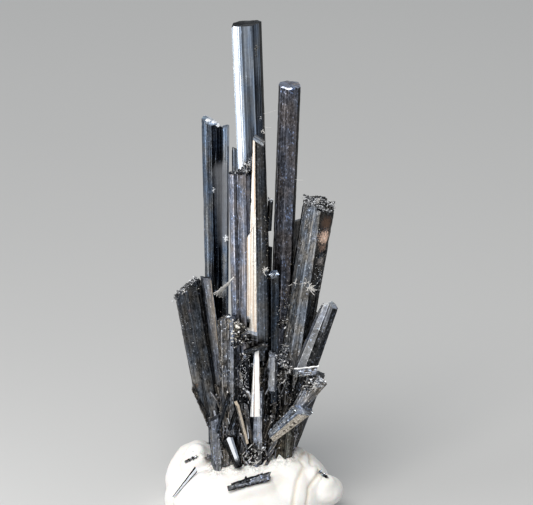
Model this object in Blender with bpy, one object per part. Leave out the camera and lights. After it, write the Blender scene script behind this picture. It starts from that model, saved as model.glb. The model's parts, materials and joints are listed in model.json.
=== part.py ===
"""A stibnite crystal spray that stands in a lump of white mounting putty.

The prisms grew together from one root, so they are joined in one solid. The putty has a socket for that
root, and a few broken splinters lie on the putty, each a piece of its own.

X runs to the right, Y away from the front, Z up. The origin is the middle of the putty's flat underside.
Lengths are in millimetres and are turned into metres where a mesh is made.
"""

import math
import random

import bmesh
import bpy
from mathutils import Quaternion, Vector

MM = 0.001
GAP = 0.3
CRUMB = 0.001

# the spray as a whole
SPRAY_TOP = 45.9
PUTTY_TOP = 5.3
ROOT_FLOOR = 2.4
ROOT_WIDTH = 7.9
ROOT_DEPTH = 5.9

# widths across the front of the main prisms
TALL_WIDTH = 2.7
RIGHT_TALL_WIDTH = 2.0
LEANING_RIGHT_WIDTH = 3.0
LEANING_LEFT_WIDTH = 2.7
REAR_WIDTH = 1.85
SHORT_RIGHT_WIDTH = 1.6

# the putty lump
PUTTY_HALF_WIDTH = 7.9
PUTTY_HALF_DEPTH = 6.9

# ribs along the prisms
RIB_DEPTH = 0.07
RIB_SPACING = 0.62

# small crystals at the root, and the rubble on it
ROOT_NEEDLES = 26
NEEDLE_SEED = 14
ROOT_SPLINTERS = 22
SPLINTER_SEED = 23
RUBBLE_SEED = 5

UP = Vector((0.0, 0.0, 1.0))
RIGHT = Vector((1.0, 0.0, 0.0))


def clear_scene():
    for thing in list(bpy.data.objects):
        bpy.data.objects.remove(thing, do_unlink=True)


def make_material(name, colour, roughness, metallic):
    material = bpy.data.materials.new(name)
    material.use_nodes = True
    shader = material.node_tree.nodes["Principled BSDF"]
    shader.inputs["Base Color"].default_value = (*colour, 1.0)
    shader.inputs["Roughness"].default_value = roughness
    shader.inputs["Metallic"].default_value = metallic
    return material


def make_object(name, shape, material=None):
    mesh = bpy.data.meshes.new(name)
    shape.to_mesh(mesh)
    shape.free()
    thing = bpy.data.objects.new(name, mesh)
    bpy.context.collection.objects.link(thing)
    if material:
        mesh.materials.append(material)
    return thing


# outlines, seen from the tip, in millimetres: x to the right, y to the back, counterclockwise

TALL_OUTLINE = (
    (-1.35, -0.20), (-0.82, -0.58), (-0.52, -0.65), (0.27, -0.66), (0.42, -0.58),
    (0.97, -0.12), (1.35, 0.55), (0.95, 1.00), (-0.60, 1.05), (-1.25, 0.55),
)
RIGHT_TALL_OUTLINE = (
    (-1.00, -0.05), (-0.86, -0.55), (-0.10, -0.74), (0.74, -0.60),
    (1.00, -0.10), (0.80, 0.72), (-0.25, 0.88), (-0.88, 0.50),
)
LEANING_RIGHT_OUTLINE = (
    (-1.50, 0.05), (-1.36, -0.38), (0.15, -1.10), (1.20, -0.42),
    (1.50, 0.10), (1.15, 0.95), (-0.40, 1.25), (-1.30, 0.75),
)
LEANING_LEFT_OUTLINE = (
    (-1.35, 0.10), (-1.18, -0.52), (0.85, -0.85), (1.35, -0.35),
    (1.20, 0.65), (0.20, 1.05), (-0.95, 0.85),
)
REAR_OUTLINE = (
    (-0.92, 0.05), (-0.52, -0.45), (-0.05, -0.60), (0.30, -0.44),
    (0.92, -0.12), (0.72, 0.58), (-0.05, 0.78), (-0.66, 0.60),
)
SHORT_RIGHT_OUTLINE = (
    (-0.80, 0.00), (-0.62, -0.44), (0.22, -0.68), (0.80, -0.12), (0.62, 0.58), (-0.48, 0.66),
)
BRIGHT_TIP_OUTLINE = (
    (-0.56, -0.23), (-0.38, -0.35), (0.22, -0.42), (0.56, -0.15), (0.42, 0.48), (-0.40, 0.48),
)
BRIGHT_FOOT_OUTLINE = (
    (-1.08, -0.10), (-0.10, -0.75), (0.62, -0.66), (1.08, -0.15), (0.85, 0.90), (-0.85, 0.90),
)
LOWER_BRIGHT_OUTLINE = (
    (-0.50, -0.20), (-0.42, 0.35), (0.04, 0.62), (0.50, 0.30), (0.42, -0.45), (-0.20, -0.55),
)
HEXAGON = ((-0.50, 0.02), (-0.27, -0.50), (0.24, -0.50), (0.50, -0.06), (0.28, 0.50), (-0.24, 0.50))
OCTAGON = (
    (-0.50, -0.10), (-0.30, -0.42), (0.02, -0.50), (0.34, -0.40),
    (0.50, -0.02), (0.32, 0.44), (-0.06, 0.50), (-0.38, 0.36),
)
RHOMB = ((-0.50, 0.06), (-0.08, -0.50), (0.50, -0.10), (0.12, 0.50))
BLADE = ((-0.50, 0.00), (-0.34, -0.50), (0.36, -0.42), (0.50, 0.04), (0.34, 0.50), (-0.36, 0.44))


def sized(outline, width, depth):
    """Stretches an outline to a width and a depth in millimetres."""
    low_x, high_x = min(x for x, y in outline), max(x for x, y in outline)
    low_y, high_y = min(y for x, y in outline), max(y for x, y in outline)
    return [(x * width / (high_x - low_x), y * depth / (high_y - low_y)) for x, y in outline]


def ribbed(outline, depth=RIB_DEPTH, spacing=RIB_SPACING):
    """Cuts shallow grooves with sloping sides into the wide faces of an outline."""
    points = []
    for number, start in enumerate(outline):
        start = Vector(start)
        edge = Vector(outline[(number + 1) % len(outline)]) - start
        points.append(tuple(start))
        grooves = int(edge.length / spacing)
        if not grooves:
            continue
        inward = Vector((-edge.y, edge.x)).normalized() * depth
        for groove in range(grooves):
            middle = (groove + 0.5 + 0.12 * math.sin(5.0 * number + 3.0 * groove)) / grooves
            half = 0.22 / grooves
            for place, drop in ((-1.0, 0.0), (-0.55, 1.0), (0.55, 1.0), (1.0, 0.0)):
                points.append(tuple(start + edge * (middle + place * half) + inward * drop))
    return points


def cut_with_plane(shape, point, normal):
    """Takes away what lies beyond a plane and closes the cut with one flat face."""
    everything = shape.verts[:] + shape.edges[:] + shape.faces[:]
    cut = bmesh.ops.bisect_plane(
        shape, geom=everything, dist=1e-9, plane_co=point, plane_no=normal, clear_outer=True
    )
    rim = [item for item in cut["geom_cut"] if isinstance(item, bmesh.types.BMEdge)]
    if rim:
        bmesh.ops.contextual_create(shape, geom=rim)


def axes_along(foot, tip, turn):
    """Gives the directions across, back and along for a crystal from foot to tip."""
    along = (tip - foot).normalized()
    across = (RIGHT - along * along.x).normalized()
    spin = Quaternion(along, math.radians(turn))
    across = spin @ across
    return across, along.cross(across), along


def prism(foot, tip, outline, foot_outline=None, foot_scale=1.0, turn=0.0, ends=((0.0, 0.0, 0.0),)):
    """Makes one crystal. Each of its end faces is (tilt, towards, drop): degrees off square to the axis,
    the side it leans to (0 right, 90 back, -90 front), and how far below the tip it crosses the axis."""
    foot, tip = Vector(foot), Vector(tip)
    across, back, along = axes_along(foot, tip, turn)
    base = foot_outline or [(x * foot_scale, y * foot_scale) for x, y in outline]
    reach = max(math.hypot(x, y) for x, y in outline) * 1.6
    stretch = ((tip - foot).length + reach) / (tip - foot).length
    shape = bmesh.new()
    rings = []
    for share in (0.0, stretch):
        centre = foot + (tip - foot) * share
        ring = []
        for (base_x, base_y), (tip_x, tip_y) in zip(base, outline):
            x = base_x + (tip_x - base_x) * share
            y = base_y + (tip_y - base_y) * share
            ring.append(shape.verts.new((centre + across * x + back * y) * MM))
        rings.append(ring)
    count = len(base)
    for number in range(count):
        after = (number + 1) % count
        shape.faces.new((rings[0][number], rings[0][after], rings[1][after], rings[1][number]))
    shape.faces.new(rings[0][::-1])
    shape.faces.new(rings[1])
    for tilt, towards, drop in ends:
        lean = math.radians(tilt)
        side = across * math.cos(math.radians(towards)) + back * math.sin(math.radians(towards))
        normal = along * math.cos(lean) + side * math.sin(lean)
        cut_with_plane(shape, (tip - along * drop) * MM, normal)
    bmesh.ops.recalc_face_normals(shape, faces=shape.faces[:])
    return shape


def break_foot(shapes, point, normal):
    """Cuts the lower end of a group away along a slanting break."""
    for shape in shapes:
        cut_with_plane(shape, Vector(point) * MM, Vector(normal).normalized())
        bmesh.ops.recalc_face_normals(shape, faces=shape.faces[:])


def bundle(foot, tip, members, foot_scale=0.8, turn=0.0, ribs=True):
    """Makes the parallel crystals of a thick group. A member is (x, y, width, depth, drop, tilt, towards),
    placed across the group's own axis, and its drop is how far its end stays below the group's tip."""
    foot, tip = Vector(foot), Vector(tip)
    across, back, along = axes_along(foot, tip, turn)
    shapes = []
    for x, y, width, depth, drop, tilt, towards in members:
        side = across * x + back * y
        end = tip + side - along * drop
        outline = sized(OCTAGON, width, depth)
        if ribs:
            outline = ribbed(outline)
        shapes.append(
            prism(foot + side * foot_scale, end, outline, foot_scale=foot_scale, turn=turn + 9.0 * x,
                  ends=((tilt, towards, 0.0),))
        )
    return shapes


def lump(centre, size, generator, rough=0.22):
    """Makes one faceted, uneven grain of rubble."""
    shape = bmesh.new()
    bmesh.ops.create_icosphere(shape, subdivisions=1, radius=1.0)
    for vert in shape.verts:
        vert.co *= 1.0 + generator.uniform(-rough, rough)
    axis = Vector((generator.random(), generator.random(), 1.0)).normalized()
    turned = Quaternion(axis, generator.uniform(0, 6))
    for vert in shape.verts:
        vert.co = turned @ vert.co
        vert.co = Vector((vert.co.x * size[0], vert.co.y * size[1], vert.co.z * size[2])) * MM
        vert.co += Vector(centre) * MM
    return shape


def main_crystals():
    """The prisms that stand free above the root, tallest first."""
    tall = prism((0.99, 0.0, 3.6), (-0.56, 0.8, SPRAY_TOP), ribbed(sized(TALL_OUTLINE, TALL_WIDTH, 1.70)),
                 foot_scale=0.85, ends=((3.0, -120.0, 0.0), (45.0, 185.0, -1.12)))
    right_tall = prism((1.99, 0.4, 3.6), (3.29, 1.0, 40.2),
                       ribbed(sized(RIGHT_TALL_OUTLINE, RIGHT_TALL_WIDTH, 1.62)),
                       foot_scale=0.9, ends=((8.0, -85.0, 0.0), (52.0, -105.0, -0.42)))
    rear = prism((-3.25, 1.6, 5.0), (-3.71, 3.2, 36.2), ribbed(sized(REAR_OUTLINE, REAR_WIDTH, 1.38)),
                 foot_scale=0.9, ends=((33.0, 0.0, 0.0), (30.0, -70.0, 0.05)))
    rear_second = prism((-2.68, 1.8, 5.0), (-2.48, 3.3, 35.6), sized(HEXAGON, 0.78, 0.9),
                        ends=((14.0, 180.0, 0.0),))
    rear_third = prism((-1.39, 1.5, 5.0), (-1.44, 3.0, 33.5), sized(OCTAGON, 0.95, 0.9),
                       ends=((25.0, 10.0, 0.0),))
    front_left = bundle((-0.65, -1.2, 5.0), (-1.11, -1.0, 32.8), (
        (-0.62, 0.05, 0.95, 1.25, 0.10, 8.0, 160.0),
        (0.12, -0.18, 1.10, 1.30, 0.00, 6.0, -90.0),
        (0.72, 0.12, 0.80, 1.00, 0.35, 15.0, 10.0),
    ), foot_scale=0.95)
    front_bright = prism((0.45, -1.8, 15.2), (0.56, -1.5, 35.9), BRIGHT_TIP_OUTLINE,
                         foot_outline=BRIGHT_FOOT_OUTLINE, ends=((22.0, 20.0, 0.0),))
    tip_chip = prism((0.10, -1.72, 36.15), (1.06, -1.72, 35.55), sized(BLADE, 0.42, 0.62), turn=20.0,
                     ends=((12.0, 0.0, 0.0),))
    side_sliver = prism((1.35, -1.2, 27.2), (1.50, -1.35, 30.3), sized(RHOMB, 0.52, 0.5),
                        ends=((30.0, 0.0, 0.0),))
    lower_bright = prism((0.27, -2.6, 16.5), (0.18, -3.2, 10.2), sized(LOWER_BRIGHT_OUTLINE, 1.12, 1.2),
                         foot_scale=0.5, ends=((6.0, 0.0, 0.0),))
    stub = prism((1.89, -1.6, 10.0), (1.89, -1.6, 23.3), sized(HEXAGON, 0.95, 1.0),
                 ends=((24.0, -100.0, 0.0),))
    leaning_right = prism((2.08, 0.2, 4.2), (5.93, 0.3, 29.1),
                          ribbed(sized(LEANING_RIGHT_OUTLINE, LEANING_RIGHT_WIDTH, 2.30)),
                          foot_scale=0.82, ends=((4.0, 0.0, 0.0),))
    leaning_right_tops = bundle((2.08, 0.2, 4.2), (6.02, 0.3, 30.0), (
        (-1.02, 0.05, 0.85, 1.10, 0.30, 12.0, 170.0),
        (-0.35, -0.35, 0.95, 1.05, 0.00, 9.0, -60.0),
        (0.35, -0.30, 0.90, 1.00, 0.25, 14.0, 20.0),
        (0.95, 0.12, 0.85, 1.00, 0.50, 11.0, 40.0),
        (0.10, 0.60, 1.30, 0.95, 0.15, 8.0, 90.0),
    ), foot_scale=0.82)
    short_right = prism((2.44, -1.2, 6.0), (7.03, -0.8, 20.2),
                        ribbed(sized(SHORT_RIGHT_OUTLINE, SHORT_RIGHT_WIDTH, 1.34)),
                        foot_scale=0.95, ends=((26.0, 170.0, 0.0), (22.0, -20.0, 0.05)))
    leaning_left = prism((-3.03, -0.6, 4.2), (-5.90, -0.8, 22.0),
                         ribbed(sized(LEANING_LEFT_OUTLINE, LEANING_LEFT_WIDTH, 1.90)),
                         foot_scale=0.78, ends=((30.0, 180.0, 0.0), (12.0, -60.0, -0.25)))
    leaning_left_tops = bundle((-3.03, -0.6, 4.2), (-5.90, -0.8, 22.4), (
        (-0.98, 0.05, 0.74, 1.05, 1.30, 28.0, 185.0),
        (-0.20, -0.28, 0.90, 0.95, 0.55, 24.0, 200.0),
        (0.72, -0.20, 0.90, 1.05, -0.05, 14.0, 170.0),
        (0.10, 0.50, 1.60, 0.95, 0.45, 20.0, 150.0),
    ), foot_scale=0.78)
    break_foot([leaning_left, *leaning_left_tops], (-5.45, 0.0, 11.8), (-0.90, 0.0, -0.43))
    left_pale = prism((-1.83, -1.2, 5.0), (-4.30, -0.9, 22.8), sized(BLADE, 0.95, 1.1), turn=18.0,
                      foot_scale=1.1, ends=((18.0, 20.0, 0.0),))
    return [
        tall, right_tall, rear, rear_second, rear_third, *front_left, front_bright, tip_chip, side_sliver,
        lower_bright, stub, leaning_right, *leaning_right_tops, short_right, leaning_left,
        *leaning_left_tops, left_pale,
    ]


def root_crystals():
    """The short prisms, blades and slabs round the foot of the spray."""
    right_body = prism((2.55, -0.7, 3.4), (3.75, -0.6, 10.9), sized(OCTAGON, 2.0, 3.0), foot_scale=0.85,
                       ends=((24.0, 175.0, 0.0),))
    etched_stub = prism((1.60, -2.2, 8.1), (4.85, -2.9, 10.8), sized(HEXAGON, 1.6, 1.7), turn=-12.0,
                        ends=((14.0, 20.0, 0.0),))
    ledge = prism((3.20, -1.9, 13.8), (6.05, -2.3, 14.2), sized(BLADE, 1.1, 0.62), turn=80.0,
                  ends=((12.0, 0.0, 0.0),))
    lower_right = prism((3.70, -1.9, 10.0), (6.35, -2.1, 13.4), sized(OCTAGON, 1.35, 1.4),
                        ends=((20.0, 60.0, 0.0),))
    left_body = prism((-3.15, -1.55, 3.4), (-3.45, -1.35, 9.6), sized(HEXAGON, 1.35, 2.0), foot_scale=0.92,
                      ends=((30.0, 180.0, 0.0),))
    left_edge_blade = prism((-3.55, -1.1, 7.6), (-5.50, -1.2, 12.4), sized(BLADE, 0.55, 0.9),
                            ends=((35.0, 180.0, 0.0),))
    middle_left = prism((-2.30, -1.9, 5.0), (-2.55, -1.7, 19.2), ribbed(sized(OCTAGON, 1.35, 1.2)),
                        ends=((20.0, 200.0, 0.0),))
    light_strip = prism((-1.75, -1.9, 8.0), (-1.80, -1.9, 19.3), sized(BLADE, 0.5, 0.8), turn=-25.0,
                        ends=((25.0, 0.0, 0.0),))
    lens = prism((-1.80, -2.3, 4.0), (-2.05, -2.75, 8.2), sized(RHOMB, 1.5, 1.1), foot_scale=0.8, turn=15.0,
                 ends=((34.0, 20.0, 0.0), (28.0, 180.0, 0.1)))
    dark_blade = prism((-3.25, -2.4, 8.3), (-2.20, -2.7, 12.0), sized(BLADE, 0.34, 0.7), turn=8.0,
                       ends=((40.0, 180.0, 0.0),))
    splinter = prism((-0.60, -2.6, 7.4), (-1.45, -3.0, 11.5), sized(RHOMB, 0.36, 0.42),
                     ends=((25.0, 0.0, 0.0),))
    leaf = prism((-0.75, -2.7, 16.1), (1.40, -3.0, 17.1), sized(BLADE, 0.75, 0.5), turn=70.0,
                 ends=((40.0, 90.0, 0.0), (40.0, -90.0, 0.0)))
    centre_face = prism((0.55, -2.1, 5.0), (0.50, -2.2, 12.6), sized(OCTAGON, 1.5, 1.4), foot_scale=1.1)
    right_pale = prism((1.72, -2.0, 7.0), (1.85, -2.1, 15.9), sized(BLADE, 0.85, 1.0), turn=-20.0,
                       ends=((30.0, 20.0, 0.0),))
    root = prism((0.10, 0.0, ROOT_FLOOR), (0.20, 0.1, 9.6), sized(OCTAGON, 6.6, 5.3), foot_scale=0.92,
                 ends=((4.0, 10.0, 0.0),))
    packed = bundle((0.1, 0.0, 5.0), (0.3, 0.1, 15.5), (
        (-2.20, -0.90, 1.70, 1.80, 1.6, 14.0, 200.0),
        (-0.95, -1.35, 1.50, 1.60, 0.2, 18.0, 250.0),
        (0.35, -1.25, 1.60, 1.60, 0.9, 16.0, 280.0),
        (1.65, -1.15, 1.60, 1.70, 0.0, 20.0, 300.0),
        (2.60, -0.35, 1.50, 1.90, 1.4, 22.0, 330.0),
        (-2.60, 0.50, 1.60, 1.90, 2.4, 17.0, 150.0),
        (-1.20, 0.60, 2.10, 2.10, 0.4, 10.0, 100.0),
        (0.70, 0.60, 2.30, 2.10, -0.8, 12.0, 60.0),
        (2.20, 0.90, 1.70, 1.80, 1.9, 15.0, 40.0),
        (-0.60, 1.90, 1.90, 1.50, 2.6, 18.0, 110.0),
        (1.20, 1.90, 1.70, 1.50, 3.4, 21.0, 70.0),
    ), foot_scale=0.95, ribs=False)
    left_stub = prism((-3.10, -1.0, 5.1), (-4.45, -1.0, 5.5), sized(HEXAGON, 0.5, 0.6),
                      ends=((20.0, 0.0, 0.0),))
    return [
        root, *packed, right_body, etched_stub, ledge, lower_right, left_body, left_edge_blade, middle_left,
        light_strip, left_stub, lens, dark_blade, splinter, leaf, centre_face, right_pale,
    ]


def back_crystals():
    """The groups that finish the side turned away from the front. They lean back and stay lower."""
    plans = (
        # foot x, foot y, tip x, tip y, tip z, width, depth, turn
        (-1.2, 1.2, -0.9, 3.6, 27.2, 1.8, 1.5, 10.0),
        (0.6, 1.4, 1.1, 4.3, 24.0, 1.5, 1.4, -20.0),
        (2.0, 1.2, 3.6, 3.9, 26.4, 1.7, 1.5, 25.0),
        (2.6, 1.0, 5.1, 3.6, 17.4, 1.9, 1.6, 5.0),
        (-2.6, 1.0, -5.2, 3.0, 17.6, 1.9, 1.5, -15.0),
        (-2.2, 1.6, -3.2, 5.2, 15.4, 1.7, 1.4, 30.0),
        (-0.2, 1.8, -0.6, 5.9, 16.4, 1.9, 1.6, 12.0),
        (1.6, 1.8, 2.7, 5.3, 14.2, 1.4, 1.3, -10.0),
        (3.0, 0.8, 6.0, 2.2, 12.4, 1.3, 1.2, 40.0),
    )
    shapes = []
    for number, (foot_x, foot_y, tip_x, tip_y, tip_z, width, depth, turn) in enumerate(plans):
        outline = sized(OCTAGON if number % 2 else HEXAGON, width, depth)
        if width > 1.6:
            outline = ribbed(outline)
        tilt = 12.0 + 5.0 * (number % 4)
        foot, tip = (foot_x, foot_y, 4.4), (tip_x, tip_y, tip_z)
        shapes.append(prism(foot, tip, outline, turn=turn, foot_scale=0.85,
                            ends=((tilt, 70.0 * number, 0.0),)))
    return shapes


def root_needles():
    """Small prisms that fan out round the sides and the back of the root."""
    generator = random.Random(NEEDLE_SEED)
    shapes = []
    for number in range(ROOT_NEEDLES):
        bearing = math.radians(-15.0 + 210.0 * (number + generator.random()) / ROOT_NEEDLES)
        low = generator.uniform(5.6, 8.5)
        lean = generator.uniform(0.22, 0.55)
        length = generator.uniform(2.6, 6.0)
        foot = Vector((3.0 * math.cos(bearing), 2.1 * math.sin(bearing), low))
        outward = Vector((math.cos(bearing), math.sin(bearing), 0.0))
        tip = foot + (UP + outward * lean).normalized() * length
        size = generator.uniform(0.45, 1.0)
        outline = sized(generator.choice((HEXAGON, RHOMB, BLADE)), size, size * generator.uniform(0.7, 1.1))
        shapes.append(prism(foot, tip, outline, turn=generator.uniform(0.0, 90.0),
                            ends=((generator.uniform(8.0, 38.0), generator.uniform(0.0, 360.0), 0.0),)))
    return shapes


def root_splinters():
    """Thin blades that stand and lean against each other across the front of the root."""
    generator = random.Random(SPLINTER_SEED)
    shapes = []
    for number in range(ROOT_SPLINTERS):
        across = -3.0 + 6.0 * (number + generator.random()) / ROOT_SPLINTERS
        face = -2.35 + 0.10 * across * across
        low = generator.uniform(5.0, 10.5)
        foot = Vector((across, face, low))
        lean = 0.16 * across + generator.uniform(-0.28, 0.28)
        direction = Vector((lean, generator.uniform(-0.16, -0.02), 1.0)).normalized()
        tip = foot + direction * generator.uniform(1.4, 3.4)
        width = generator.uniform(0.26, 0.62)
        outline = sized(generator.choice((RHOMB, BLADE)), width, width * generator.uniform(0.8, 1.3))
        shapes.append(prism(foot, tip, outline, turn=generator.uniform(-50.0, 50.0), foot_scale=1.2,
                            ends=((generator.uniform(15.0, 50.0), generator.choice((0.0, 180.0)), 0.0),)))
    return shapes


def rubble():
    """Broken grains packed between the prisms, with dust on them."""
    generator = random.Random(RUBBLE_SEED)
    beds = (
        # middle x, y, z, spread x, y, z, grains, size
        (-1.30, -2.1, 17.6, 0.60, 0.25, 1.10, 7, 0.50),
        (2.60, -1.9, 14.8, 0.65, 0.30, 1.60, 8, 0.52),
        (5.60, -2.0, 13.3, 0.45, 0.30, 0.40, 4, 0.42),
        (0.70, -2.5, 6.2, 1.10, 0.30, 0.90, 7, 0.48),
        (2.40, -1.3, 18.6, 0.50, 0.30, 1.20, 4, 0.45),
        (-0.30, 2.4, 8.0, 2.30, 0.50, 1.60, 8, 0.60),
        (4.70, -2.2, 12.2, 0.55, 0.30, 0.90, 6, 0.42),
    )
    rims = (
        # left end x, y, z, right end x, y, z, grains, size
        (-7.05, -0.95, 20.6, -5.00, -1.00, 22.6, 8, 0.26),
        (4.68, -0.35, 29.7, 7.08, -0.20, 29.9, 9, 0.26),
        (-2.00, -1.35, 32.6, -0.40, -1.40, 32.7, 6, 0.20),
    )
    shapes = []
    for left_x, left_y, left_z, right_x, right_y, right_z, grains, size in rims:
        left, right = Vector((left_x, left_y, left_z)), Vector((right_x, right_y, right_z))
        for number in range(grains):
            centre = left.lerp(right, (number + 0.5) / grains)
            centre += Vector([generator.uniform(-0.5, 0.5) * size for _ in range(3)])
            grain = [size * generator.uniform(0.8, 1.4) for _ in range(3)]
            shapes.append(lump(centre, grain, generator))
    for x, y, z, spread_x, spread_y, spread_z, grains, size in beds:
        for _ in range(grains):
            centre = (
                x + generator.uniform(-spread_x, spread_x),
                y + generator.uniform(-spread_y, spread_y),
                z + generator.uniform(-spread_z, spread_z),
            )
            grain = [size * generator.uniform(0.6, 1.1) for _ in range(3)]
            shapes.append(lump(centre, grain, generator))
    return shapes


def combined(name, shapes, operation, start):
    """Joins or cuts a start shape with a row of others and gives the result as one mesh."""
    base = make_object(name + "_start", start)
    helpers = bpy.data.collections.new(name + "_tools")
    bpy.context.scene.collection.children.link(helpers)
    for number, shape in enumerate(shapes):
        tool = make_object(f"{name}_tool_{number}", shape)
        bpy.context.collection.objects.unlink(tool)
        helpers.objects.link(tool)
    boolean = base.modifiers.new("combine", "BOOLEAN")
    boolean.operand_type = "COLLECTION"
    boolean.collection = helpers
    boolean.operation = operation
    boolean.solver = "EXACT"
    bpy.context.view_layer.update()
    result = bmesh.new()
    result.from_object(base, bpy.context.evaluated_depsgraph_get())
    bmesh.ops.remove_doubles(result, verts=result.verts[:], dist=CRUMB * MM)
    for tool in list(helpers.objects):
        bpy.data.objects.remove(tool, do_unlink=True)
    bpy.data.collections.remove(helpers)
    bpy.data.objects.remove(base, do_unlink=True)
    return result


def outer_shell(shape):
    """Drops closed pockets left between crystals, so that the solid has one skin."""
    unseen = set(shape.faces)
    shells = []
    while unseen:
        stack = [unseen.pop()]
        shell = set(stack)
        while stack:
            face = stack.pop()
            for edge in face.edges:
                for other in edge.link_faces:
                    if other in unseen:
                        unseen.remove(other)
                        shell.add(other)
                        stack.append(other)
        shells.append(shell)
    largest = max(shells, key=len)
    spare = [face for face in shape.faces if face not in largest]
    bmesh.ops.delete(shape, geom=spare, context="FACES")
    return shape


def root_socket(grow):
    """The buried root, larger by a clearance all round: what the putty is pressed against."""
    outline = sized(OCTAGON, ROOT_WIDTH + 2 * grow, ROOT_DEPTH + 2 * grow)
    return prism((0.0, 0.0, ROOT_FLOOR - grow), (0.0, 0.0, PUTTY_TOP + 2.0), outline, foot_scale=0.9)


def dome(centre, radii, turns, rings):
    """Makes a faceted ellipsoid."""
    shape = bmesh.new()
    bmesh.ops.create_uvsphere(shape, u_segments=turns, v_segments=rings, radius=1.0)
    for vert in shape.verts:
        lumpy = 1.0 + 0.025 * math.sin(3.0 * vert.co.x + 4.0 * vert.co.y) + 0.02 * math.cos(7.0 * vert.co.y)
        place = [centre[axis] + vert.co[axis] * radii[axis] * lumpy for axis in range(3)]
        vert.co = Vector(place) * MM
    return shape


def putty_shape(grow=0.0):
    """The lump: a main dome with a shoulder pressed up on each side of the root and a knob squeezed out to
    the right, cut off flat below. All of it is larger by grow all round."""
    lumps = (
        # middle, radii, segments round, rings
        ((-0.35, 0.2, 0.4), (PUTTY_HALF_WIDTH, PUTTY_HALF_DEPTH, PUTTY_TOP - 0.4), 28, 14),
        ((3.3, -0.6, 1.8), (4.0, 4.6, 4.05), 22, 12),
        ((6.45, -1.9, 2.5), (1.85, 2.2, 1.5), 16, 8),
        ((-4.9, 1.4, 1.7), (3.15, 3.6, 4.2), 20, 12),
    )
    main, *others = [dome(middle, [radius + grow for radius in radii], segments, rings)
                     for middle, radii, segments, rings in lumps]
    lump_shape = combined("putty", others, "UNION", main)
    cut_with_plane(lump_shape, Vector((0.0, 0.0, 0.0)), -UP)
    return lump_shape


def build_spray():
    parts = main_crystals() + root_crystals() + back_crystals()
    parts += root_needles() + root_splinters() + rubble()
    joined = outer_shell(combined("spray", parts[1:], "UNION", parts[0]))
    collar = combined("collar", [root_socket(0.0)], "DIFFERENCE", putty_shape(GAP))
    trimmed = outer_shell(combined("trimmed", [collar], "DIFFERENCE", joined))
    return make_object("crystal_spray", trimmed, make_material("stibnite", (0.09, 0.095, 0.11), 0.28, 1.0))


def build_putty():
    lump_shape = combined("socketed", [root_socket(GAP)], "DIFFERENCE", putty_shape())
    white = make_material("white_putty", (0.86, 0.84, 0.80), 0.75, 0.0)
    return make_object("mounting_putty", lump_shape, white)


def build_loose_pieces():
    """Splinters that broke off and lie on the putty, clear of it by the gap."""
    dark = make_material("loose_stibnite", (0.05, 0.055, 0.065), 0.3, 1.0)
    bright = make_material("bright_stibnite", (0.55, 0.57, 0.60), 0.2, 1.0)
    pieces = (
        # name, foot, tip, width, depth, turn, material
        ("loose_shard", (-2.27, -5.59, 4.08), (1.58, -4.40, 4.83), 0.80, 0.60, 20.0, dark),
        ("loose_blade", (-7.25, -3.40, 2.37), (-5.13, -2.51, 4.81), 0.50, 0.20, 20.0, bright),
        ("loose_chip_left", (-6.22, -1.24, 4.97), (-5.08, -1.04, 5.43), 0.36, 0.25, 0.0, dark),
        ("loose_chip_rear", (-5.56, -0.48, 5.56), (-5.22, -0.11, 5.82), 0.30, 0.22, 0.0, dark),
        ("loose_chip_right", (5.99, -2.86, 4.72), (6.76, -3.15, 4.15), 0.35, 0.22, 0.0, dark),
    )
    for name, foot, tip, width, depth, turn, material in pieces:
        shape = prism(foot, tip, sized(BLADE, width, depth), turn=turn, ends=((25.0, 30.0, 0.0),))
        make_object(name, shape, material)


clear_scene()
build_spray()
build_putty()
build_loose_pieces()
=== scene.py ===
# A stibnite crystal spray standing in a lump of white mounting putty.
# Lengths in the tables are millimetres; mm turns them into metres where a mesh is made.
import json
import math
import random

import bmesh
import bpy
import numpy as np
from mathutils import Matrix, Quaternion, Vector, noise
from mathutils.bvhtree import BVHTree

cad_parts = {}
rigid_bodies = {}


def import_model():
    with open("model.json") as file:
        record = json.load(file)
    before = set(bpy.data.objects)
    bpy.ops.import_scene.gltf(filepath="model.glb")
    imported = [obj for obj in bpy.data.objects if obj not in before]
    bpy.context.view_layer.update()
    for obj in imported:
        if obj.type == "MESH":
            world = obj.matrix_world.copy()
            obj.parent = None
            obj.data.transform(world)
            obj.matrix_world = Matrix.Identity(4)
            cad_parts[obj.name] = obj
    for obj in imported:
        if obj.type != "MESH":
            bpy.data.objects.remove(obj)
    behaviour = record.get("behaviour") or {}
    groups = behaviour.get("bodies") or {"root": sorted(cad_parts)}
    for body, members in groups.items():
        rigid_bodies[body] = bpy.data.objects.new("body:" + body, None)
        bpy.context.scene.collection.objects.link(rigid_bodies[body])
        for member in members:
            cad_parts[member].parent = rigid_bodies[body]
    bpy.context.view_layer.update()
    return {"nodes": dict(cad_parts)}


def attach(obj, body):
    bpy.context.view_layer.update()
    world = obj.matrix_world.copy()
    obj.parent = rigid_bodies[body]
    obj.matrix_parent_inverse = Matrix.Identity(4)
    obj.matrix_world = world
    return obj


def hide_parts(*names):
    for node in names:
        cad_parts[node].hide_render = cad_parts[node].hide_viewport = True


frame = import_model()
mm = 0.001
upward = Vector((0.0, 0.0, 1.0))
rightward = Vector((1.0, 0.0, 0.0))
view = {"target": Vector((1.215, 0.0, 24.70)), "elevation": math.radians(19.0), "distance": 450.0,
        "pixelsWide": 533, "pixelSize": 0.09, "sensor": 36.0, "clip": (0.01, 10.0)}
viewUp = Vector((0.0, math.sin(view["elevation"]), math.cos(view["elevation"])))
viewBack = rightward.cross(viewUp)
viewEye = view["target"] + viewBack * view["distance"]
print("frame loaded:", len(frame["nodes"]), "solids")


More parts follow.
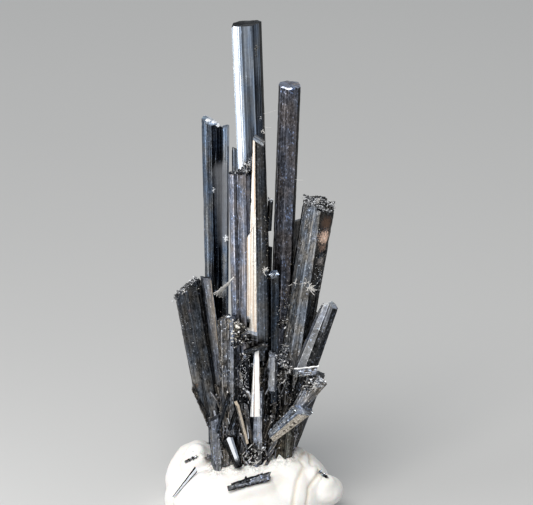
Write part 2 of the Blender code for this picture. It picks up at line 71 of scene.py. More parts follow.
class Wire:  # one output socket; arithmetic on it adds Math nodes
    def __init__(self, recipe, socket):
        self.recipe, self.socket = recipe, socket

    def maths(self, operation, other=None, third=None, flipped=False):
        first, second = (other, self) if flipped else (self, other)
        values = {0: first}
        if second is not None:
            values[1] = second
        if third is not None:
            values[2] = third
        return self.recipe.node("ShaderNodeMath", {"operation": operation}, values)

    def __add__(self, other):
        return self.maths("ADD", other)

    def __radd__(self, other):
        return self.maths("ADD", other, flipped=True)

    def __sub__(self, other):
        return self.maths("SUBTRACT", other)

    def __rsub__(self, other):
        return self.maths("SUBTRACT", other, flipped=True)

    def __mul__(self, other):
        return self.maths("MULTIPLY", other)

    def __rmul__(self, other):
        return self.maths("MULTIPLY", other, flipped=True)

    def __truediv__(self, other):
        return self.maths("DIVIDE", other)

    def __rtruediv__(self, other):
        return self.maths("DIVIDE", other, flipped=True)

    def __pow__(self, other):
        return self.maths("POWER", other)

    def floor(self):
        return self.maths("FLOOR")

    def between(self, low, high, smooth=True):  # 0 at low, 1 at high
        kind = "SMOOTHSTEP" if smooth else "LINEAR"
        return self.recipe.node("ShaderNodeMapRange", {"interpolation_type": kind}, {0: self, 1: low, 2: high})

    def clamped(self, low=0.0, high=1.0):
        return self.maths("MAXIMUM", low).maths("MINIMUM", high)


class Recipe:  # a node tree that is being written
    def __init__(self, tree):
        self.tree = tree

    def node(self, kind, settings=None, values=None, output=0):
        made = self.tree.nodes.new(kind)
        for name, value in (settings or {}).items():
            if name == "stops":
                ramp = made.color_ramp
                while len(ramp.elements) < len(value):
                    ramp.elements.new(0.5)
                for element, (place, colour) in zip(ramp.elements, value):
                    element.position, element.color = place, (*colour, 1.0)
            else:
                setattr(made, name, value)
        for key, value in (values or {}).items():
            if isinstance(value, Wire):
                self.tree.links.new(value.socket, made.inputs[key])
            else:
                made.inputs[key].default_value = value
        return Wire(self, made.outputs[output])

    def vector(self, x=0.0, y=0.0, z=0.0):
        return self.node("ShaderNodeCombineXYZ", {}, {0: x, 1: y, 2: z})

    def parts(self, vector):
        split = self.node("ShaderNodeSeparateXYZ", {}, {0: vector}).socket.node
        return [Wire(self, socket) for socket in split.outputs]

    def scaled(self, vector, amount):
        return self.node("ShaderNodeVectorMath", {"operation": "SCALE"}, {0: vector, 3: amount})

    def vectors(self, operation, first, second):
        return self.node("ShaderNodeVectorMath", {"operation": operation}, {0: first, 1: second})

    def noise(self, vector, scale, detail=2.0, roughness=0.5, output=0):
        return self.node("ShaderNodeTexNoise", {}, {0: vector, 2: scale, 3: detail, 4: roughness}, output)

    def mixed(self, share, first, second):
        settings = {"data_type": "RGBA", "clamp_factor": True}
        return self.node("ShaderNodeMix", settings, {0: share, 6: self.colour(first), 7: self.colour(second)}, 2)

    def colour(self, value):
        return value if isinstance(value, Wire) else (*value, 1.0)


class FinishRecipe(Recipe):  # a material
    def __init__(self, name):
        self.material = bpy.data.materials.new(name)
        self.material.use_nodes = True
        super().__init__(self.material.node_tree)
        self.shader = self.tree.nodes["Principled BSDF"]

    def attribute(self, name):
        return self.node("ShaderNodeAttribute", {"attribute_name": name}, {}, 2)

    def place(self):  # where on the piece, in millimetres
        return self.scaled(self.node("ShaderNodeTexCoord", {}, {}, 3), 1.0 / mm)

    def finish(self, links, constants=None):
        for name, value in {**links, **(constants or {})}.items():
            if isinstance(value, Wire):
                self.tree.links.new(value.socket, self.shader.inputs[name])
            elif isinstance(value, tuple):
                self.shader.inputs[name].default_value = (*value, 1.0)
            else:
                self.shader.inputs[name].default_value = value
        return self.material


class GrowthRecipe(Recipe):  # a Geometry Nodes tree with named inputs
    def __init__(self, name, inputs):
        super().__init__(bpy.data.node_groups.new(name, "GeometryNodeTree"))
        face = self.tree.interface
        face.new_socket("Geometry", in_out="INPUT", socket_type="NodeSocketGeometry")
        for label, (kind, value) in inputs.items():
            socket = face.new_socket(label, in_out="INPUT", socket_type="NodeSocket" + kind)
            if value is not None:
                socket.default_value = value
        face.new_socket("Geometry", in_out="OUTPUT", socket_type="NodeSocketGeometry")
        self.start = self.tree.nodes.new("NodeGroupInput")
        self.end = self.tree.nodes.new("NodeGroupOutput")

    def input(self, label):
        return Wire(self, self.start.outputs[label])

    def named(self, name, kind="FLOAT"):
        return self.node("GeometryNodeInputNamedAttribute", {"data_type": kind}, {"Name": name})

    def stored(self, geometry, name, value, domain="POINT"):
        settings = {"data_type": "FLOAT", "domain": domain}
        return self.node("GeometryNodeStoreNamedAttribute", settings, {0: geometry, 2: name, 3: value})

    def chance(self, number, seed):  # one fixed random value for each number
        settings = {"noise_dimensions": "2D"}
        return self.node("ShaderNodeTexWhiteNoise", settings, {0: self.vector(number, seed, 0.0)})

    def close(self, geometry):  # every tree ends in plain mesh with its material
        real = self.node("GeometryNodeRealizeInstances", {}, {0: geometry})
        last = self.node("GeometryNodeSetMaterial", {}, {0: real, 2: self.input("Material")})
        self.tree.links.new(last.socket, self.end.inputs[0])
        return self.tree


def runTree(thing, tree, values):  # puts a tree on an object and keeps the mesh that it makes
    modifier = thing.modifiers.new(tree.name, "NODES")
    modifier.node_group = tree
    for item in tree.interface.items_tree:
        if item.item_type == "SOCKET" and item.in_out == "INPUT" and item.name in values:
            modifier[item.identifier] = values[item.name]
    thing.update_tag()
    keepResult(thing, modifier)


def keepResult(thing, *modifiers):
    bpy.context.view_layer.update()
    graph = bpy.context.evaluated_depsgraph_get()
    result = thing.evaluated_get(graph)
    mesh = bpy.data.meshes.new_from_object(result, preserve_all_data_layers=True, depsgraph=graph)
    for modifier in modifiers:
        thing.modifiers.remove(modifier)
    thing.data = mesh


def addObject(name, mesh):
    thing = bpy.data.objects.new(name, mesh)
    bpy.context.scene.collection.objects.link(thing)
    return thing


def settle(thing, node):  # the piece stands for a CAD node: it joins the root body, and the node's own solid is hidden
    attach(thing, "root")
    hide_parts(node)
    return thing


# outlines of the prisms, seen from the tip: x right, y back, counterclockwise
outlines = {
    "tall": ((-1.35, -0.20), (-1.22, -0.34), (-0.90, -0.55), (-0.72, -0.61), (-0.52, -0.65), (-0.24, -0.67),
             (0.33, -0.66), (0.42, -0.61), (0.50, -0.55), (1.10, -0.02), (1.35, 0.55), (0.95, 1.00), (-0.60, 1.05),
             (-1.25, 0.55)),
    "brightStep": ((-0.34, 0.10), (0.22, -0.27), (0.40, -0.10), (0.30, 0.30), (-0.20, 0.35)),
    "rightTall": ((-1.00, -0.05), (-0.86, -0.55), (-0.10, -0.74), (0.74, -0.60),
                  (1.00, -0.10), (0.80, 0.72), (-0.25, 0.88), (-0.88, 0.50)),
    "leaningRight": ((-1.50, 0.05), (-1.36, -0.38), (0.15, -1.10), (1.20, -0.42),
                     (1.50, 0.10), (1.15, 0.95), (-0.40, 1.25), (-1.30, 0.75)),
    "leaningRightFoot": ((-1.23, 0.04), (-1.12, -0.31), (0.78, -0.96), (1.05, -0.34),
                         (1.23, 0.08), (0.94, 0.78), (-0.33, 1.02), (-1.07, 0.62)),
    "leaningLeft": ((-1.35, 0.10), (-1.18, -0.52), (0.85, -0.85), (1.35, -0.35),
                    (1.20, 0.65), (0.20, 1.05), (-0.95, 0.85)),
    "rear": ((-0.92, 0.05), (-0.52, -0.45), (-0.05, -0.60), (0.30, -0.44),
             (0.92, -0.12), (0.72, 0.58), (-0.05, 0.78), (-0.66, 0.60)),
    "shortRight": ((-0.80, 0.00), (-0.62, -0.44), (-0.20, -0.57), (0.22, -0.68), (0.80, -0.12), (0.62, 0.58),
                   (-0.48, 0.66)),
    "etched": ((-0.80, 0.10), (-0.30, -0.75), (0.55, -0.75), (0.80, -0.30), (0.65, 0.60), (-0.45, 0.75)),
    "shortRightFoot": ((-1.31, 0.05), (-1.12, -0.44), (-0.40, -0.60), (0.22, -0.67), (0.78, -0.12), (0.61, 0.57),
                       (-0.86, 0.63)),
    "flake": ((-0.50, 0.00), (-0.24, -0.50), (0.24, -0.50), (0.50, 0.00), (0.24, 0.50), (-0.24, 0.50)),
    "lens": ((-0.55, 0.05), (-0.32, -0.38), (-0.08, -0.54), (0.24, -0.52), (0.42, -0.35), (0.55, 0.00), (0.20, 0.45),
             (-0.20, 0.45)),
    "brightTip": ((-0.56, -0.23), (-0.38, -0.35), (0.22, -0.42), (0.56, -0.15), (0.42, 0.48), (-0.40, 0.48)),
    "brightFoot": ((-1.08, -0.10), (-0.10, -0.75), (0.62, -0.66), (1.08, -0.15), (0.85, 0.90), (-0.85, 0.90)),
    "lowerBright": ((-0.20, -0.55), (0.42, -0.45), (0.48, 0.40), (0.45, 0.44), (-0.04, 0.42), (-0.08, 0.41),
                    (-0.46, 0.22), (-0.50, -0.20)),
    "lowerBrightFoot": ((-0.10, -0.25), (0.25, -0.20), (0.29, 0.12), (0.27, 0.15), (-0.11, 0.14), (-0.13, 0.13),
                        (-0.15, 0.10), (-0.16, -0.10)),
    "hexagon": ((-0.50, 0.02), (-0.27, -0.50), (0.24, -0.50), (0.50, -0.06), (0.28, 0.50), (-0.24, 0.50)),
    "octagon": ((-0.50, -0.10), (-0.30, -0.42), (0.02, -0.50), (0.34, -0.40),
                (0.50, -0.02), (0.32, 0.44), (-0.06, 0.50), (-0.38, 0.36)),
    "rhomb": ((-0.50, 0.06), (-0.08, -0.50), (0.50, -0.10), (0.12, 0.50)),
    "blade": ((-0.50, 0.00), (-0.34, -0.50), (0.36, -0.42), (0.50, 0.04), (0.34, 0.50), (-0.36, 0.44)),
}


def sized(name, width=None, depth=None):
    points = outlines[name]
    if width is None:
        return list(points)
    spanX = max(x for x, y in points) - min(x for x, y in points)
    spanY = max(y for x, y in points) - min(y for x, y in points)
    return [(x * width / spanX, y * depth / spanY) for x, y in points]


def axesAlong(foot, tip, turn):
    along = (tip - foot).normalized()
    across = (rightward - along * along.x).normalized()
    across = Quaternion(along, math.radians(turn)) @ across
    return across, along.cross(across), along


growthRules = {
    "topRows": (0.0, 0.09, 0.2, 0.34, 0.52, 0.78),  # close rows below a tip, where it breaks
    "topShare": 0.3,  # the most of a short prism that they may take
    "memberGap": 60.0,  # how far apart two members' ribs lie in the noise
}


class Growth:  # collects prisms for one piece, with what the trees and finishes read
    def __init__(self):
        self.points, self.faces, self.count, self.members = [], [], 0, 0
        self.onPoints = {"across": [], "along": [], "below": [], "rim": [], "outward": [], "axis": []}
        self.onFaces = {"tone": [], "stain": []}

    def prism(self, foot, tip, outline, toneAndShade=0.3, topToneAndShade=0.3, footOutline=None, footScale=1.0, turn=0.0,
              ends=((0.0, 0.0, 0.0),), breakPlane=None, step=0.05, rowStep=0.8, stains=0.0,
              rings=(0.78, 0.5, 0.25), toneAndShadeAlong=None):
        foot, tip = Vector(foot), Vector(tip)
        across, back, along = (np.array(axis) for axis in axesAlong(foot, tip, turn))
        length = (tip - foot).length
        foot, tip = np.array(foot), np.array(tip)
        tipCorners = np.array(outline, float)
        footCorners = np.array(footOutline if footOutline else outline, float) * (1.0 if footOutline else footScale)
        sides = len(outline)
        toneAndShade = [toneAndShade] * sides if isinstance(toneAndShade, (int, float)) else toneAndShade
        stains = [stains] * sides if isinstance(stains, (int, float)) else stains
        # columns: the outline cut fine enough for the ribs
        tipXY, footXY, facing, rim, roundTo, edgeOf = [], [], [], [], [], []
        travelled = 0.0
        for side in range(sides):
            edge = tipCorners[(side + 1) % sides] - tipCorners[side]
            footEdge = footCorners[(side + 1) % sides] - footCorners[side]
            before = tipCorners[side] - tipCorners[side - 1]
            size = float(np.hypot(*edge))
            pieces = max(1, round(size / step))
            normal = np.array((edge[1], -edge[0])) / size
            bent = normal + np.array((before[1], -before[0])) / max(float(np.hypot(*before)), 1e-6)
            bent /= np.hypot(*bent)
            for piece in range(pieces):
                share = piece / pieces
                tipXY.append(tipCorners[side] + edge * share)
                footXY.append(footCorners[side] + footEdge * share)
                facing.append(normal if piece else bent)
                rim.append(0.0 if piece else 1.0)
                roundTo.append(travelled + size * share)
                edgeOf.append(side)
            travelled += size
        tipXY, footXY, facing = np.array(tipXY), np.array(footXY), np.array(facing)
        rim, roundTo = np.array(rim), np.array(roundTo) + growthRules["memberGap"] * self.members
        columns = len(tipXY)

        def line(tipPart, footPart):  # start and run of the lines along the prism
            start = foot + footPart[:, :1] * across + footPart[:, 1:] * back
            return start, (tip - foot) + (tipPart - footPart)[:, :1] * across + (tipPart - footPart)[:, 1:] * back

        def topOf(start, run):  # how far up each line ends, and at which end face
            best, which = np.full(len(start), np.inf), np.zeros(len(start), int)
            for number, (tilt, towards, drop) in enumerate(ends):
                lean, way = math.radians(tilt), math.radians(towards)
                normal = along * math.cos(lean) + (across * math.cos(way) + back * math.sin(way)) * math.sin(lean)
                reach = ((tip - along * drop - start) @ normal) / (run @ normal)
                which = np.where(reach < best, number, which)
                best = np.minimum(best, reach)
            return best, which

        start, run = line(tipXY, footXY)
        top, _ = topOf(start, run)
        bottom = np.zeros(columns)
        if breakPlane:
            point, normal = np.array(breakPlane[0]), np.array(breakPlane[1])
            bottom = np.maximum(bottom, ((point - start) @ normal) / (run @ normal))
        span = (top - bottom) * length
        near = [value for value in growthRules["topRows"] if value < growthRules["topShare"] * float(span.min())]
        rows = max(2, round((float(span.mean()) - near[-1]) / rowStep))
        first = self.count
        for row in range(rows + len(near)):
            if row < rows:
                down = near[-1] + (span - near[-1]) * (1.0 - row / rows)
            else:
                down = np.full(columns, near[rows + len(near) - 1 - row])
            share = top - down / length
            self.addPoints(start + run * share[:, None], roundTo, share * length, down, rim,
                           facing[:, :1] * across + facing[:, 1:] * back, along)
        total = rows + len(near)
        index = np.arange(columns)
        after = (index + 1) % columns
        for row in range(total - 1):
            low, high = first + row * columns, first + (row + 1) * columns
            self.faces += np.stack([low + index, low + after, high + after, high + index], 1).tolist()
            below = float((span * (1.0 - row / rows)).mean()) if row < rows else 0.0
            height = float((top * length).mean()) - below
            # Each face's tone is painted light and shade together with the crystal's own tarnish: how bright that facet
            # shows. The factors along the length paint more light and shade on top, such as a bright face that fades
            # into painted shadow at its foot.
            toneAndShadeGains = [np.interp(height, *zip(*toneAndShadeAlong[side])) if toneAndShadeAlong and side in toneAndShadeAlong else 1.0
                     for side in range(sides)]
            self.onFaces["tone"] += [toneAndShade[side] * toneAndShadeGains[side] for side in edgeOf]
            self.onFaces["stain"] += [stains[side] for side in edgeOf]
        # the end face, ring by ring to its middle
        middle = tipXY.mean(0)
        footMiddle = footXY.mean(0)
        outer = first + (total - 1) * columns
        # The end faces' tones are painted light and shade in the same way, such as painted highlights on bright tips.
        endToneAndShade = topToneAndShade if isinstance(topToneAndShade, tuple) else (topToneAndShade,) * len(ends)
        for share in (*rings, 0.0):
            ringTip, ringFoot = middle + (tipXY - middle) * share, footMiddle + (footXY - footMiddle) * share
            ringStart, ringRun = line(ringTip, ringFoot)
            ringTop, which = topOf(ringStart, ringRun)
            inner = self.count
            ring = ringStart + ringRun * ringTop[:, None]
            if share:
                self.addPoints(ring, roundTo, ringTop * length, 0.0, 0.0, 0.0, along)
                self.faces += np.stack([outer + index, outer + after, inner + after, inner + index], 1).tolist()
            else:
                self.addPoints(ring[:1], 0.0, ringTop[:1] * length, 0.0, 0.0, 0.0, along)
                self.faces += [[outer + i, outer + (i + 1) % columns, inner] for i in range(columns)]
            self.onFaces["tone"] += [endToneAndShade[number] for number in which]
            self.onFaces["stain"] += [0.0] * columns
            outer = inner
        self.faces.append([first + i for i in reversed(range(columns))])
        self.onFaces["tone"].append(endToneAndShade[0])
        self.onFaces["stain"].append(0.0)
        self.members += 1

    def addPoints(self, points, across, along, below, rim, outward, axis):
        count = len(points)
        self.points.append(points)
        for name, value in (("across", across), ("along", along), ("below", below), ("rim", rim)):
            self.onPoints[name].append(np.broadcast_to(np.asarray(value, float), (count,)))
        for name, value in (("outward", outward), ("axis", axis)):
            self.onPoints[name].append(np.broadcast_to(np.asarray(value, float), (count, 3)))
        self.count += count

    def bundle(self, foot, tip, members, footScale=0.8, turn=0.0, toneAndShade=None, **options):
        foot, tip = Vector(foot), Vector(tip)
        across, back, along = axesAlong(foot, tip, turn)
        for number, (x, y, width, depth, drop, tilt, towards) in enumerate(members):
            side = across * x + back * y
            self.prism(foot + side * footScale, tip + side - along * drop, sized("octagon", width, depth),
                       footScale=footScale, turn=turn + 9.0 * x, ends=((tilt, towards, 0.0),),
                       toneAndShade=toneAndShade[number] if toneAndShade else 0.3, **options)

    def fromPlans(self, plans, **options):
        for foot, tip, outline, width, depth, turn, footScale, ends, toneAndShade, topToneAndShade in plans:
            self.prism(foot, tip, sized(outline, width, depth), turn=turn, footScale=footScale, ends=ends,
                       toneAndShade=toneAndShade, topToneAndShade=topToneAndShade, **options)

    def mesh(self, name):
        mesh = bpy.data.meshes.new(name)
        mesh.from_pydata((np.concatenate(self.points) * mm).tolist(), [], self.faces)
        for label, parts in self.onPoints.items():
            values = np.concatenate(parts)
            kind, field = ("FLOAT", "value") if values.ndim == 1 else ("FLOAT_VECTOR", "vector")
            mesh.attributes.new(label, kind, "POINT").data.foreach_set(field, values.ravel())
        for label, values in self.onFaces.items():
            mesh.attributes.new(label, "FLOAT", "FACE").data.foreach_set("value", np.array(values, float))
        mesh.update()
        return mesh


def ribTree():  # gives a prism its ribs, chipped edges and broken top
    r = GrowthRecipe("prismRibs", {
        "Rib width": ("Float", 0.17), "Rib depth": ("Float", 0.05), "Fade length": ("Float", 5.0),
        "Broken top": ("Float", 0.1), "Chips": ("Float", 0.05), "Pits": ("Float", 0.0), "Seed": ("Float", 1.0),
        "Material": ("Material", None),
    })
    across, along, below, rim = (r.named(name) for name in ("across", "along", "below", "rim"))
    outward, axis = r.named("outward", "FLOAT_VECTOR"), r.named("axis", "FLOAT_VECTOR")
    seed, width = r.input("Seed"), r.input("Rib width")
    position = r.node("GeometryNodeInputPosition")
    warp = r.noise(r.vector(across, seed * 7.3, 0.0), 0.9, 1.0)
    wide = (across / (width * 2.6) + warp * 3.0 + seed * 0.37).floor()
    narrow = (across / width + warp * 4.0).floor()
    fine = (across / (width * 0.42) + seed).floor()
    fade = r.noise(r.vector(narrow * 5.7, along / r.input("Fade length"), seed), 1.0, 2.0).between(0.40, 0.60)
    wideChance, narrowChance, fineChance = (
        r.chance(number, seed + shift) for number, shift in ((wide, 0.5), (narrow, 3.5), (fine, 9.5)))
    rib = wideChance * (1.0 - fade * 0.6) + narrowChance * fade * 0.6
    ribTone = rib * 0.7 + fineChance * 0.3
    inset = r.input("Rib depth") * (rib * 0.75 + fineChance * 0.25)
    chipNoise = r.noise(r.vector(across * 3.0, along * 1.9, seed), 1.0, 3.0).between(0.56, 0.70)
    inset = inset + r.input("Chips") * rim * chipNoise
    inMillimetres = r.scaled(position, 1.0 / mm)
    pit = r.noise(inMillimetres, 2.4, 4.0, 0.65).between(0.46, 0.72)
    inset = inset + r.input("Pits") * pit
    crown = 1.0 - (below / (r.input("Broken top") * 3.0 + 0.0001)).clamped()
    lump = r.noise(inMillimetres, 2.1, 4.0, 0.75).between(0.25, 0.75, False)
    drop = r.input("Broken top") * crown * (0.8 * lump + 0.2 * r.chance(wide, seed + 5.0))
    gleamRun = r.noise(r.vector(fine * 3.3, along / r.input("Fade length"), seed + 7.0), 1.0, 2.0)
    gleamRun = gleamRun.between(0.46, 0.58)
    gleam = fineChance.between(0.80, 0.90) * gleamRun
    move = r.vectors("ADD", r.scaled(outward, inset * -mm), r.scaled(axis, drop * -mm))
    moved = r.node("GeometryNodeSetPosition", {}, {0: r.input("Geometry"), 3: move})
    moved = r.stored(moved, "rib", ribTone)
    moved = r.stored(moved, "gleam", gleam)
    moved = r.stored(moved, "pit", pit)
    moved = r.stored(moved, "crown", (1.0 - below / 0.5).clamped())
    flat = r.node("GeometryNodeSetShadeSmooth", {}, {0: moved, 2: False})
    return r.close(flat)


ribs = ribTree()


def stibniteFinish(name, look):
    r = FinishRecipe(name)
    tone, stain, rib, rim, crown, gleam, pit = (
        r.attribute(label) for label in ("tone", "stain", "rib", "rim", "crown", "gleam", "pit"))
    across, along = r.attribute("across"), r.attribute("along")
    place = r.place()
    height = r.parts(place)[2]
    seed = look["seed"]
    streak = r.noise(r.vector(across * 8.0, along * 0.22, seed), 1.0, 4.0, 0.6)
    hairline = r.noise(r.vector(across * 16.0, along * 0.09, seed + 3.0), 1.0, 2.0, 0.5)
    broad = r.noise(r.vector(across * 1.6, along * 0.35, seed + 4.0), 1.0, 3.0)
    patch = r.noise(place, 1.7, 4.0, 0.62)
    grit = r.noise(place, 8.0, 3.0, 0.8)
    # The facet tone brings painted light and shade together with the tarnish. On top of it the rim adds a painted
    # highlight along the prism edges, the gleam adds thin painted glint lines, and the pit value paints shade into the
    # pits.
    value = tone + (rib - 0.5) * look["ribContrast"] + (streak - 0.5) * look["streaks"]
    value = value + (broad - 0.5) * look["bands"] + (patch - 0.5) * look["mottle"] + rim * look["edges"]
    value = value + gleam * look["gleam"] - pit * look["pitShade"] + (grit - 0.5) * look["grit"]
    # flecks: small bright specks in loose clumps
    speck = r.noise(r.vector(across * 6.5, along * 4.2, seed + 8.0), 1.0, 2.0, 0.6)
    speckTint = r.noise(r.vector(across * 3.0, along * 2.0, seed + 9.0), 1.0, 1.0)
    clump = r.noise(place, 0.9, 3.0, 0.6)
    fleck = (speck + (clump - 0.5) * 0.45).between(look["fleckFrom"], look["fleckFrom"] + 0.06)
    value = value + fleck * look["fleckTone"] + (speck - 0.5) * look["speckle"]
    value = value + (hairline - 0.5) * look["hairlines"]
    value = value.clamped(0.02, 1.06)
    shine = value ** 2.2
    cast = r.noise(r.vector(across * 1.1, along * 0.5, seed + 2.0), 1.0, 2.0).between(0.35, 0.65)
    metalTint = r.mixed(cast, look["cool"], look["warm"])
    metalTint = r.mixed(fleck * look["blue"] * speckTint.between(0.42, 0.52), metalTint, (0.50, 0.76, 1.45))
    # Faces toned from about 0.84 up take the fresh colour: a painted highlight on the brightest facets, broken by fine
    # lines in the line tint. These faces also lose most of their metal and take no dust.
    fresh = tone.between(0.84, 0.95)
    metalTint = r.mixed(fresh, metalTint, look["fresh"])
    bare = r.vectors("MULTIPLY", metalTint, r.vector(shine, shine, shine))
    bare = r.mixed(fresh * (1.0 - hairline.between(0.42, 0.52)) * look["highlightLines"], bare, look["lineTint"])
    # dust: thick at the root, thin above, always on broken ends
    dustNoise = r.noise(place, 2.6, 5.0, 0.72)
    low = 1.0 - height.between(look["dustFrom"], look["dustTo"])
    dust = dustNoise + low * look["dustLow"] + crown * look["dustCrown"] + look["dust"] + stain * 0.42
    dust = dust.between(0.74, 0.94) * (1.0 - fresh)
    dustColour = r.node("ShaderNodeValToRGB", {"stops": look["dustColours"]}, {0: grit.between(0.28, 0.72, False)})
    colour = r.mixed(dust * 0.9, bare, dustColour)
    for centre, radius, tint, haze in look.get("spots", ()):  # a haze is a spot with a soft rim
        away = r.node("ShaderNodeVectorMath", {"operation": "DISTANCE"}, {0: place, 1: centre}, 1)
        raggedRim, rimFrom, strength = 1.6 - 1.2 * haze, 0.25 - 0.2 * haze, 1.0 - 0.25 * haze
        spot = (1.0 - away / radius + (grit - 0.5) * raggedRim).between(rimFrom, 0.7) * strength
        colour = r.mixed(spot, colour, tint)
        dust = dust.maths("MAXIMUM", spot)
    rough = look["rough"] + (patch - 0.5) * 0.2 + dust * 0.45
    bump = r.node("ShaderNodeBump", {}, {"Strength": 0.5, "Distance": 0.00003,
                                         "Height": streak * 0.6 + grit * (0.25 + dust * 1.2)})
    return r.finish({"Base Color": colour, "Metallic": (1.0 - dust * 0.9) * (1.0 - fresh * 0.6),
                     "Roughness": rough.clamped(0.12, 0.9), "Normal": bump})


brownDust = ((0.0, (0.004, 0.0035, 0.003)), (0.45, (0.035, 0.028, 0.020)), (0.68, (0.16, 0.13, 0.095)),
             (1.0, (0.62, 0.56, 0.46)))
greyDust = ((0.0, (0.006, 0.006, 0.007)), (0.5, (0.06, 0.058, 0.056)), (0.75, (0.24, 0.23, 0.21)),
            (1.0, (0.80, 0.79, 0.76)))
rustEdges = ((0.0, (0.16, 0.05, 0.03)), (0.5, (0.42, 0.20, 0.12)), (1.0, (0.75, 0.50, 0.38)))
khakiDust = ((0.0, (0.06, 0.045, 0.03)), (0.35, (0.30, 0.26, 0.20)), (0.6, (0.56, 0.51, 0.44)),
             (1.0, (0.80, 0.77, 0.71)))

# In a look, fresh is the colour of the painted highlight on the brightest facets, with its highlight lines; edges sets
# the painted highlight along the prism edges, and the pit value the painted shade in the pits.
plainLook = {
    "seed": 1.0, "ribContrast": 0.26, "streaks": 0.18, "bands": 0.12, "mottle": 0.14, "edges": 0.18, "gleam": 0.26,
    "pitShade": 0.0, "grit": 0.10, "fleckFrom": 0.66, "fleckTone": 0.35, "blue": 0.4,
    "cool": (0.84, 0.96, 1.16), "warm": (1.05, 1.0, 0.94), "fresh": (0.90, 0.94, 1.02), "highlightLines": 0.0,
    "lineTint": (0.42, 0.56, 0.74), "speckle": 0.35, "hairlines": 0.2,
    "rough": 0.24, "dustFrom": 6.0, "dustTo": 20.0, "dustLow": 0.14, "dustCrown": 0.08, "dust": 0.0,
    "dustColours": brownDust,
}

